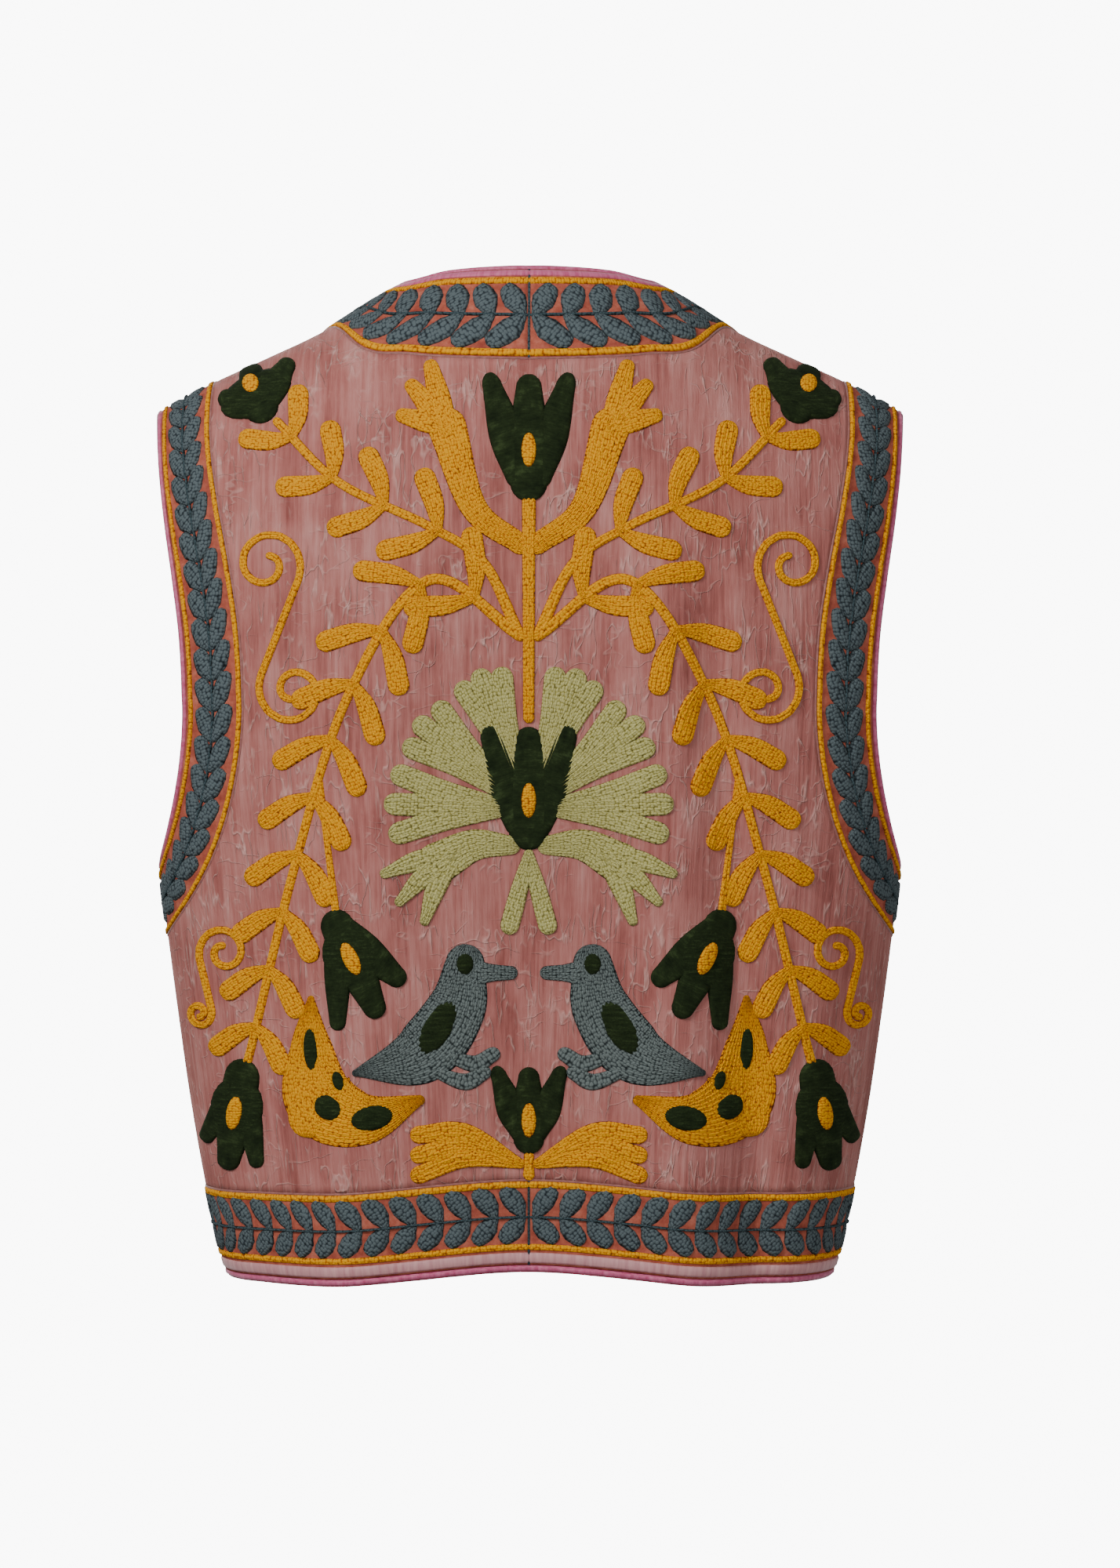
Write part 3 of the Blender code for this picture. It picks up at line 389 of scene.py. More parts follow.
def quarter_layout(face, side):
    """Edges of the panel, the bands and the hem on one quarter, all at shared stations."""
    sheet = quarter_sheet(face, side)
    edge, inner, marks = armhole_lines(sheet)
    corner = int(len(inner) * ARMHOLE_CORNER)
    under = resample(inner[: corner + 1], np.linspace(1, 0, SIDE_COLUMNS + 1))
    over = resample(inner[corner:], np.linspace(0, 1, HIGH_ROWS + 1))
    arm_inner = np.vstack((under[::-1], over[1:]))
    at_marks = np.interp(path_lengths(arm_inner), path_lengths(inner), marks)
    rows = np.append(np.arange(len(edge) - 1.0), marks[-1])
    arm_edge = np.column_stack([np.interp(at_marks, rows, edge[:, k]) for k in range(2)])
    neck_edge = spline([flat_of(sheet, row[0], row[1]) for row in NECK[face]])
    neck_inner = spline([flat_of(sheet, row[2], row[3]) for row in NECK[face]])
    columns = PANEL_COLUMNS[face]
    if face == "back":
        neck_stations = np.linspace(0, 1, NECK_STEPS + 1)
        neck_top = resample(neck_inner, neck_stations)
        shoulder = straight(neck_inner[-1], over[-1], columns - NECK_STEPS)
        shoulder[:, 1] = column_length(sheet, shoulder[:, 0])
        top = np.vstack((neck_top, shoulder[1:]))
        middle = (0.0, under[0, 1])
        left_low = straight((0.0, hem_line(sheet, 0.0) + HEM_BAND), middle, LOW_ROWS)
        left_high = straight(middle, neck_inner[0], HIGH_ROWS)
    else:
        for line in (neck_edge, neck_inner):
            line[-1, 1] = hem_line(sheet, line[-1, 0]) + HEM_BAND
        neck_stations = np.linspace(0, 1, LOW_ROWS + HIGH_ROWS + 1)
        left = resample(neck_inner, neck_stations)[::-1]
        left_low, left_high = left[: LOW_ROWS + 1], left[LOW_ROWS:]
        top = straight(neck_inner[0], over[-1], columns)
        top[:, 1] = column_length(sheet, top[:, 0])
        middle = left_high[0]
    waist = straight(middle, under[0], columns)
    inner_end = np.vstack((waist, under[1:]))
    start = left_low[0, 0]
    spread = (inner_end[:, 0] - inner_end[0, 0]) / (FLAT_GIRTH - inner_end[0, 0])
    bottom_girth = start + (FLAT_GIRTH - start) * spread
    bottom = np.column_stack((bottom_girth, hem_line(sheet, bottom_girth) + HEM_BAND))
    left_low[0] = bottom[0]
    right_low = straight(bottom[-1], under[-1], LOW_ROWS)
    return {
        "sheet": sheet,
        "low": coons(bottom, inner_end, left_low, right_low),
        "high": coons(waist, top, left_high, over),
        "arm_inner": arm_inner,
        "arm_edge": arm_edge,
        "neck_inner": resample(neck_inner, neck_stations),
        "neck_edge": resample(neck_edge, neck_stations),
        "hem_top": bottom,
    }


def tuck(sheet, points, seams):
    """Flat points kept half a seam gap inside the named seams."""
    half = SEAM_GAP / 2
    girth, rise = points[:, 0], points[:, 1]
    if "centre" in seams:
        girth = np.maximum(girth, half)
    if "side" in seams:
        girth = np.minimum(girth, FLAT_GIRTH - half)
    if "shoulder" in seams:
        rise = np.minimum(rise, column_length(sheet, girth) - half)
    return np.column_stack((girth, rise))


def cloth_object(name, data, finish):
    """Object at the origin from mesh data, smooth shaded."""
    data.materials.append(finish)
    data.shade_smooth()
    made = bpy.data.objects.new(name, data)
    bpy.context.scene.collection.objects.link(made)
    return made


def cloth_wall(name, grids, thick, finish):
    """Closed thin wall over flat grids (sheet, flat points, seams)."""
    mesh = bmesh.new()
    chart = mesh.loops.layers.uv.new("flat")
    girth_at = mesh.verts.layers.float_vector.new("chart")
    behind = mesh.verts.layers.float_vector.new("behind")
    for sheet, flat, seams in grids:
        columns, rows = flat.shape[:2]
        points = tuck(sheet, flat.reshape(-1, 2), seams)
        outer = place(sheet, points).reshape(columns, rows, 3) * MM
        inner = place(sheet, points, -thick).reshape(columns, rows, 3) * MM
        points = points.reshape(columns, rows, 2)
        turn = np.cross(outer[1, 0] - outer[0, 0], outer[0, 1] - outer[0, 0])
        outward = np.dot(turn, outer[0, 0] - inner[0, 0]) > 0
        verts = [[mesh.verts.new(outer[i, j]) for j in range(rows)] for i in range(columns)]
        shift = 0.0 if sheet["face"] == "back" else 1.0
        for i in range(columns):
            for j in range(rows):
                girth, rise = points[i, j] * MM
                verts[i][j][behind] = inner[i, j]
                verts[i][j][girth_at] = (sheet["side"] * girth + shift, rise, 0)
        for i in range(columns - 1):
            for j in range(rows - 1):
                loop = (verts[i][j], verts[i + 1][j], verts[i + 1][j + 1], verts[i][j + 1])
                mesh.faces.new(loop if outward else loop[::-1])
    bmesh.ops.remove_doubles(mesh, verts=mesh.verts, dist=WELD)
    open_edges = [edge.link_loops[0] for edge in mesh.edges if edge.is_boundary]
    rim = [(loop.vert, loop.link_loop_next.vert) for loop in open_edges]
    outer_faces = list(mesh.faces)
    partner = {}
    for vert in list(mesh.verts):
        partner[vert] = mesh.verts.new(vert[behind])
        partner[vert][girth_at] = vert[girth_at]
    for face in outer_faces:
        mesh.faces.new([partner[vert] for vert in reversed(face.verts)])
    for first, second in rim:
        mesh.faces.new((second, first, partner[first], partner[second]))
    for face in mesh.faces:
        for loop in face.loops:
            loop[chart].uv = loop.vert[girth_at][:2]
    data = bpy.data.meshes.new(name)
    mesh.to_mesh(data)
    mesh.free()
    return cloth_object(name, data, finish)


def level_width(layout, rise):
    """Width of one quarter of a panel along a level line, inside its seams and below the ridge."""
    sheet, neck, arm = layout["sheet"], layout["neck_inner"], layout["arm_inner"]
    order = np.argsort(neck[:, 1])
    open_side = 0.0 if sheet["face"] == "back" else neck[order[0], 0]
    start = np.interp(rise, neck[order, 1], neck[order, 0], left=open_side)
    end = np.interp(rise, arm[:, 1], arm[:, 0], left=FLAT_GIRTH)
    line = straight((start, rise), (end, rise), LEVEL_STEPS)
    steps = np.linalg.norm(np.diff(place(sheet, line), axis=0), axis=1)
    below = line[1:, 1] <= column_length(sheet, line[1:, 0])
    return steps[below].sum()


def panel_cut(quarters):
    """Flat width, length and area in metres of a panel, from its widths at many levels."""
    widths, areas, lengths = [], [], []
    for layout in quarters:
        sheet = layout["sheet"]
        foot = layout["hem_top"][:, 1].min()
        head = max(column_length(sheet, girth) for girth in layout["high"][:, -1, 0])
        rises = np.linspace(foot, head, LEVEL_STEPS + 1)
        levels = np.array([level_width(layout, rise) for rise in rises])
        areas.append(((levels[1:] + levels[:-1]) / 2 * np.diff(rises)).sum())
        widths.append(levels.max())
        lengths.append(head - foot)
    return (sum(widths) * MM, max(lengths) * MM), sum(areas) * MM**2


def colour(code):
    """Linear colour of an sRGB hex value."""
    parts = [int(code[i : i + 2], 16) / 255 for i in (1, 3, 5)]
    return (*[p / 12.92 if p <= 0.04045 else ((p + 0.055) / 1.055) ** 2.4 for p in parts], 1.0)


def add_node(tree, kind, settings=None, links=None):
    """One shader node with its settings and its links from other nodes' outputs."""
    made = tree.nodes.new(kind)
    for key, value in (settings or {}).items():
        if hasattr(made, key):
            setattr(made, key, value)
        else:
            made.inputs[key].default_value = value
    for socket, source in (links or {}).items():
        tree.links.new(source, made.inputs[socket])
    return made


def new_finish(name, chart=None):
    """Empty material, its node tree, its surface shader and the piece's own chart if it is named."""
    made = bpy.data.materials.new(name)
    made.use_nodes = True
    tree = made.node_tree
    if chart:
        chart = add_node(tree, "ShaderNodeUVMap", {"uv_map": chart}).outputs["UV"]
    return made, tree, tree.nodes["Principled BSDF"], chart


def scaled(tree, chart, along, across, turn=0.0):
    """Chart in units of two sizes in millimetres."""
    settings = {"Rotation": (0, 0, turn), "Scale": (1000 / along, 1000 / across, 1)}
    return add_node(tree, "ShaderNodeMapping", settings, {"Vector": chart}).outputs["Vector"]


def noise(tree, chart, scale, detail, rough=0.5, dimensions="3D", output="Fac"):
    """Noise pattern on a chart."""
    settings = {"noise_dimensions": dimensions, "Scale": scale, "Detail": detail, "Roughness": rough}
    return add_node(tree, "ShaderNodeTexNoise", settings, {"Vector": chart}).outputs[output]


def calc(tree, operation, *values, clamp=False):
    """Result of a sum over numbers and other nodes' outputs."""
    made = add_node(tree, "ShaderNodeMath", {"operation": operation, "use_clamp": clamp})
    for socket, value in zip(made.inputs, values):
        if isinstance(value, float):
            socket.default_value = value
        else:
            tree.links.new(value, socket)
    return made.outputs["Value"]


def span(tree, source, low, high, start, end):
    """A value's range turned into another range."""
    settings = {"From Min": low, "From Max": high, "To Min": start, "To Max": end}
    return add_node(tree, "ShaderNodeMapRange", settings, {"Value": source}).outputs["Result"]


def ramp(tree, source, stops):
    """Colours along a value, from (place, hex) stops."""
    made = add_node(tree, "ShaderNodeValToRGB", links={"Fac": source})
    while len(made.color_ramp.elements) < len(stops):
        made.color_ramp.elements.new(0.5)
    for element, (at, code) in zip(made.color_ramp.elements, stops):
        element.position = at
        element.color = colour(code)
    return made.outputs["Color"]


def dress(tree, shader, ground, height, strength, depth, values):
    """Ground colour, relief and even values on a surface shader."""
    tree.links.new(ground, shader.inputs["Base Color"])
    for socket, value in values.items():
        shader.inputs[socket].default_value = value
    relief = add_node(
        tree, "ShaderNodeBump", {"Strength": strength, "Distance": depth}, {"Height": height}
    )
    tree.links.new(relief.outputs["Normal"], shader.inputs["Normal"])


# Crushed cotton velvet: the pile lies over in narrow bands down the cloth, so it is finely streaked
# light and dark, and wandering pressed lines catch the light. It has a soft sheen at grazing angles.
STREAK_WIDTH = 2.4
STREAK_LENGTH = 42.0
BAND_WIDTH = 11.0
BAND_LENGTH = 120.0
PRESSED_ACROSS = 15.0
PRESSED_DOWN = 34.0
LONG_LINE = (8.0, 44.0)
PATCH = 24.0


def crushed_velvet():
    made, tree, shader, chart = new_finish("dusty_pink_crushed_velvet", "flat")

    def cloth_noise(across, down, detail, rough, turn=0.0):
        return noise(tree, scaled(tree, chart, across, down, turn), 1.0, detail, rough, "2D")

    def pressed_line(across, down, width, turn):
        level = calc(tree, "SUBTRACT", cloth_noise(across, down, 2.0, 0.5, turn), 0.5)
        near = span(tree, calc(tree, "ABSOLUTE", level), 0.0, width, 1.0, 0.0)
        broken = span(tree, cloth_noise(PATCH, PATCH * 1.3, 3.0, 0.6, turn), 0.47, 0.60, 0.0, 1.0)
        return calc(tree, "MULTIPLY", near, broken)

    streak = cloth_noise(STREAK_WIDTH, STREAK_LENGTH, 3.0, 0.65)
    band = cloth_noise(BAND_WIDTH, BAND_LENGTH, 3.0, 0.55)
    patch = span(tree, cloth_noise(PATCH * 1.6, PATCH * 2.2, 4.0, 0.6), 0.0, 1.0, 0.0, 0.36)
    upright = pressed_line(PRESSED_ACROSS, PRESSED_DOWN, 0.020, 0.0)
    level = pressed_line(PRESSED_DOWN, PRESSED_ACROSS, 0.018, 0.5)
    long_line = pressed_line(*LONG_LINE, 0.035, 0.05)
    pressed = calc(tree, "MULTIPLY_ADD", upright, 1.0, calc(tree, "MULTIPLY_ADD", level, 0.6, long_line))
    pile = calc(tree, "MULTIPLY_ADD", streak, 0.34, calc(tree, "MULTIPLY_ADD", band, 0.30, patch))
    ground = ramp(tree, pile, ((0.34, "#8C4C46"), (0.47, "#A8665F"), (0.56, "#B5766F"), (0.70, "#C58C85")))
    caught = calc(tree, "MULTIPLY", pressed, 0.45, clamp=True)
    mixed = add_node(
        tree, "ShaderNodeMixRGB", {"Color2": colour("#DDB3A9")}, {"Fac": caught, "Color1": ground}
    ).outputs["Color"]
    values = {"Roughness": 0.8, "Specular IOR Level": 0.2, "Sheen Weight": 0.2, "Sheen Roughness": 0.4}
    values["Sheen Tint"] = colour("#E3B7AD")
    dress(tree, shader, mixed, calc(tree, "MULTIPLY_ADD", pressed, 0.35, pile), 1.0, 0.0016, values)
    return made


def rides(piece, slot, *nodes):
    """The piece stands for its CAD nodes if it has any and moves with the garment; its slot is not used."""
    if nodes:
        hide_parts(*nodes)
    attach(piece, "root")


layouts = {(face, side): quarter_layout(face, side) for face in FACES for side, _ in HALVES}
VELVET = crushed_velvet()
grids = []
for side, _ in HALVES:
    layout = layouts["back", side]
    for level in ("low", "high"):
        grids.append((layout["sheet"], layout[level], ("side", "shoulder")))
back = cloth_wall("back_of_crushed_velvet", grids, VELVET_THICK, VELVET)
rides(back, "velvet", "back_panel")
back_flat, back_cut_area = panel_cut([layouts["back", side] for side, _ in HALVES])

# ---------------------------------------------------------------------------------------------
# Fronts: two plain widths of the same crushed velvet, joined to the back at the side and shoulder
# seams. They meet edge to edge and have no fastening.
# ---------------------------------------------------------------------------------------------
for side, word in HALVES:
    layout = layouts["front", side]
    grids = [(layout["sheet"], layout[level], ("side", "shoulder")) for level in ("low", "high")]
    front = cloth_wall("front_of_crushed_velvet_" + word, grids, VELVET_THICK, VELVET)
    rides(front, "velvet", "front_panel_" + word)
    front_flat, front_cut_area = panel_cut([layout])

# ---------------------------------------------------------------------------------------------
# Borders: strips of salmon cloth sewn flat over the neck and front edges, the armholes and the hem,
# each worked with its leaf pattern before it is sewn on.
# ---------------------------------------------------------------------------------------------
BORDER_ROWS = 12
BORDER_GRAIN = 9.0
HEM_CORNER_STEPS = 14
EDGE_STRIPS = (
    # edge, name of its strip, name of its CAD node, seam that both halves keep clear of
    ("neck", "neck_and_front_border_", "neck_band_", "centre"),
    ("arm", "armhole_border_", "armhole_band_", "side"),
)


def strip(first, second):
    """Flat grid between two lines, kept a seam gap short of the second."""
    t = np.linspace(0, 1, BORDER_ROWS + 1)[None, :, None]
    run = second - first
    length = np.linalg.norm(run, axis=1)[:, None]
    second = second - run / length * SEAM_GAP
    return first[:, None] * (1 - t) + second[:, None] * t


def border_cloth():
    """Plain-woven cotton, salmon pink: matt, with a fine thread grain."""
    made, tree, shader, chart = new_finish("salmon_border_cotton", "flat")
    mottle = noise(tree, chart, 1000 / BORDER_GRAIN, 6.0, 0.7)
    ground = ramp(tree, mottle, ((0.35, "#8E3F33"), (0.55, "#AF5C49"), (0.75, "#C47865")))
    values = {"Roughness": 0.9, "Specular IOR Level": 0.2}
    dress(tree, shader, ground, mottle, 0.4, 0.0006, values)
    return made


def cord_route(sheet, flat, seams):
    """Line along a border's edge, half way through its cloth, and the way out from it at each point."""
    at_edge, next_in = (
        place(sheet, tuck(sheet, flat[:, k], seams), -BORDER_THICK / 2) for k in (0, 1)
    )
    away = at_edge - next_in
    away /= np.linalg.norm(away, axis=1)[:, None]
    return np.hstack((at_edge, away))


def sew_strip(name, node, grids):
    """Border strip over flat grids, in the place of its CAD node."""
    band = cloth_wall(name, grids, BORDER_THICK, BORDER)
    rides(band, "band", node)


BORDER = border_cloth()
hem_lines = []
edge_lines = []
arm_lines = {}
border_charts = {}
for side, word in HALVES:
    for kind, name, node, seam in EDGE_STRIPS:
        grids, routes = [], []
        for face in FACES:
            layout = layouts[face, side]
            flat = strip(layout[kind + "_edge"], layout[kind + "_inner"])
            if (kind, face) == ("neck", "front"):
                flat[-1, :, 1] += SEAM_GAP
            grids.append((layout["sheet"], flat, (seam,)))
            routes.append(cord_route(layout["sheet"], flat, (seam,)))
        sew_strip(name + word, node + word, grids)
        border_charts[kind, side] = grids
        if kind == "neck":
            edge_lines.append(np.vstack((routes[0], routes[1][1:])))
        else:
            arm_lines[word] = np.vstack((routes[0], routes[1][::-1][1:-1]))
    for face in FACES:
        sheet, top = (layouts[face, side][key] for key in ("sheet", "hem_top"))
        if face == "front":
            extra = straight((FRONT_GAP, 0.0), (top[0, 0], 0.0), HEM_CORNER_STEPS)[:-1]
            extra[:, 1] = hem_line(sheet, extra[:, 0]) + HEM_BAND
            top = np.vstack((extra, top))
        flat = strip(top - (0.0, HEM_BAND), top)
        grids = [(sheet, flat, ("centre", "side"))]
        sew_strip("hem_border_%s_%s" % (face, word), "hem_band_%s_%s" % (face, word), grids)
        hem_lines.append(cord_route(sheet, flat, ("centre", "side")))
        border_charts["hem_" + face, side] = grids
    turned = cord_route(sheet, flat.transpose(1, 0, 2), ("centre",))[::-1]
    edge_lines[-1] = np.vstack((edge_lines[-1], turned[1:]))

# ---------------------------------------------------------------------------------------------
# Pipings: bias strips of pink cloth folded over a thin cord and sewn along the borders' outer edges,
# each held by a fine crimson line of couching on both sides.
# ---------------------------------------------------------------------------------------------
PIPING_OUT = 2.0
PIPING_RADIUS = 1.7
COUCHING_RADIUS = 0.75
COUCHING_OUT = (0.4, 3.7)
CORD_STEP = 2.0
CORD_SIDES = 8
PULL_LENGTH = 3.2
PULL_WIDTH = 9.0
PULL_SLANT = 40.0
CORD_ASIDE = (0.3, 0.2, 1.0)


def cord_route_at(route, out):
    """Centre line at a distance out from a border's edge."""
    return route[:, :3] + route[:, 3:] * out


def add_cord(work, route, radius, closed):
    """Round cord along a line of body points, added to a mesh in the making."""
    if closed:
        route = np.vstack((route, route[:1]))
    count = int(path_lengths(route)[-1] / CORD_STEP)
    line = resample(route, np.linspace(0, 1, count + 1))
    if closed:
        line = line[:-1]
        run = np.roll(line, -1, axis=0) - np.roll(line, 1, axis=0)
    else:
        run = np.gradient(line, axis=0)
    run /= np.linalg.norm(run, axis=1)[:, None]
    upright = [np.cross(run[0], CORD_ASIDE)]
    for ahead in run[1:]:
        upright.append(upright[-1] - np.dot(upright[-1], ahead) * ahead)
        upright[-1] /= np.linalg.norm(upright[-1])
    upright = np.array(upright)
    upright[0] /= np.linalg.norm(upright[0])
    aside = np.cross(run, upright)
    twist = np.zeros(len(line))
    if closed:
        last = upright[-1] - np.dot(upright[-1], run[0]) * run[0]
        missing = math.atan2(np.dot(last, aside[0]), np.dot(last, upright[0]))
        twist = -missing * np.arange(len(line)) / len(line)
    turn = twist[:, None] + np.linspace(0, 2 * math.pi, CORD_SIDES + 1)[None, :-1]
    ring = np.cos(turn)[:, :, None] * upright[:, None] + np.sin(turn)[:, :, None] * aside[:, None]
    points = (line[:, None] + ring * radius).reshape(-1, 3)
    base = len(work["points"])
    along = path_lengths(line)
    girth = 2 * math.pi * radius
    for i in range(len(line)):
        for k in range(CORD_SIDES):
            work["points"].append(points[i * CORD_SIDES + k] * MM)
            work["chart"].append((along[i] * MM, k / CORD_SIDES * girth * MM))
            work["rim"].append(0.0)
    rings = len(line) if closed else len(line) - 1
    for i in range(rings):
        here, ahead = base + i * CORD_SIDES, base + (i + 1) % len(line) * CORD_SIDES
        for k in range(CORD_SIDES):
            k_next = (k + 1) % CORD_SIDES
            work["faces"].append((here + k, here + k_next, ahead + k_next, ahead + k))
    if not closed:
        work["faces"].append(tuple(base + k for k in range(CORD_SIDES))[::-1])
        work["faces"].append(tuple(base + rings * CORD_SIDES + k for k in range(CORD_SIDES)))


def new_work():
    return {"points": [], "faces": [], "chart": [], "rim": []}


def made_piece(name, work, finish, slot, *nodes):
    """Piece from gathered points and faces, with its thread chart and its rim shade."""
    data = bpy.data.meshes.new(name)
    data.from_pydata([tuple(point) for point in work["points"]], [], work["faces"])
    chart = data.uv_layers.new(name="thread")
    at = np.zeros(len(data.loops), int)
    data.loops.foreach_get("vertex_index", at)
    chart.data.foreach_set("uv", np.array(work["chart"])[at].ravel())
    rim = data.attributes.new("rim", "FLOAT", "POINT")
    rim.data.foreach_set("value", np.array(work["rim"], float))
    rides(cloth_object(name, data, finish), slot, *nodes)


def bias_cloth(name, dark, light):
    """Satin-faced bias strip over a cord: smooth, softly shiny, with faint slanting pulls."""
    made, tree, shader, chart = new_finish(name, "thread")
    slant = scaled(tree, chart, PULL_LENGTH, PULL_WIDTH, math.radians(PULL_SLANT))
    pull = noise(tree, slant, 1.0, 4.0, 0.6)
    ground = ramp(tree, pull, ((0.3, dark), (0.7, light)))
    dress(tree, shader, ground, pull, 0.5, 0.0005, {"Roughness": 0.55, "Sheen Weight": 0.25})
    return made


PIPING = bias_cloth("pink_bias_cloth", "#B33A66", "#DB7399")
COUCHING = bias_cloth("crimson_couching_thread", "#6E1430", "#A62A4C")
left_edge, right_edge = edge_lines
back_left, front_left, back_right, front_right = hem_lines
piping_routes = {
    "edge_piping": (np.vstack((right_edge[::-1], left_edge[1:])), False),
    "hem_piping": (np.vstack((front_left, back_left[::-1], back_right, front_right[::-1])), False),
    "armhole_piping_left": (arm_lines["left"], True),
    "armhole_piping_right": (arm_lines["right"], True),
}
for node, (route, closed) in piping_routes.items():
    work, couching = new_work(), new_work()
    add_cord(work, cord_route_at(route, PIPING_OUT), PIPING_RADIUS, closed)
    for out in COUCHING_OUT:
        add_cord(couching, cord_route_at(route, out), COUCHING_RADIUS, closed)
    made_piece(node + "_in_pink", work, PIPING, "piping", node)
    made_piece(node + "_couching", couching, COUCHING, "piping")

# ---------------------------------------------------------------------------------------------
# Border embroidery: chain stitch in grey-blue wool, leaf pairs on a dark stem, with a mustard line
# near both edges. Each leaf is padded and stands a little off the cloth.
# ---------------------------------------------------------------------------------------------
CHAIN_ROW = 2.7
CHAIN_LINK = 1.9
ROWS_A_CELL = 1.9
WANDER, FIBRE, UNEVEN = 6.0, 0.8, 12.0
PAD_SINK = 0.4
LINE_LIFT = 1.1
STEM_LIFT = 1.5
BORDER_LEAF_LIFT = 1.3
BORDER_LEAF_STEP = 4.0
MOTIF_STEP = 1.3
CAP_TURNS = 5
THREAD_SHIFT = 0.037
THREAD_SHIFTS = 89
ROW_LOW = 0.62
ROUGH_PLACES = 40
ROW_COLUMNS = 4
PLAIN_COLUMNS = 10
DOME_POWER = 5
END_LOW = 0.1
BORDER_CAP_TURNS = 2
LINE_STATION = 20.0
STEM_WIDTH = 1.6
LEAF_END_ROOM = 6.0
LEAF_FOOT_OUT = 1.2
LEAF_BELLY = (0.42, 0.55)
LEAF_WIDTHS = (0.45, 1.0, 0.82)
LEAF_CAPS = (0.8, 0.7)
STRIP_LIFT = 0.7


def chain_stitch(name, *stops):
    """Wool chain stitch in close rows: a pebbled ground whose links are painted lighter on top and darker
    at their edges, with painted shade in the small holes between the links and a painted shadow along each
    piece's rim.
    """
    made, tree, shader, chart = new_finish(name, "thread")
    wander = noise(tree, chart, 1000 / WANDER, 2.0, output="Color")
    settings = {"blend_type": "LINEAR_LIGHT", "Fac": 0.0006}
    loose = add_node(tree, "ShaderNodeMixRGB", settings, {"Color1": chart, "Color2": wander})
    links = scaled(tree, loose.outputs["Color"], CHAIN_LINK, CHAIN_ROW / ROWS_A_CELL)
    settings = {"voronoi_dimensions": "2D", "feature": "F1", "Scale": 1.0, "Randomness": 0.55}
    cell = add_node(tree, "ShaderNodeTexVoronoi", settings, {"Vector": links}).outputs["Distance"]
    # painted highlight and shade: bead is 1 in the middle of a link and 0 at its edge, and the colour
    # follows it, so each link is painted light on top and dark in the holes between links; the same value
    # also gives the relief
    bead = span(tree, cell, 0.15, 0.85, 1.0, 0.0)
    rough = calc(tree, "MULTIPLY_ADD", noise(tree, chart, 1000 / FIBRE, 3.0, 0.7), 0.3, bead)
    lit = calc(tree, "MULTIPLY_ADD", noise(tree, chart, 1000 / UNEVEN, 3.0), 0.35, rough)
    # painted shadow: the colour is darkened where the rim value nears 1, along the outline of each padded
    # piece where it stands off the cloth
    rim = add_node(tree, "ShaderNodeAttribute", {"attribute_name": "rim"}).outputs["Fac"]
    shaded = calc(tree, "ADD", lit, span(tree, rim, 0.86, 1.0, 0.0, -0.55))
    # the stops run from the painted shade in the holes to the painted highlight on the links' tops; the
    # fibre and uneven noise add the wool's own tone
    ground = ramp(tree, shaded, tuple(zip((0.34, 0.56, 0.86, 1.0), stops)))
    dress(tree, shader, ground, rough, 0.8, 0.0007, {"Roughness": 0.85, "Specular IOR Level": 0.1})
    return made


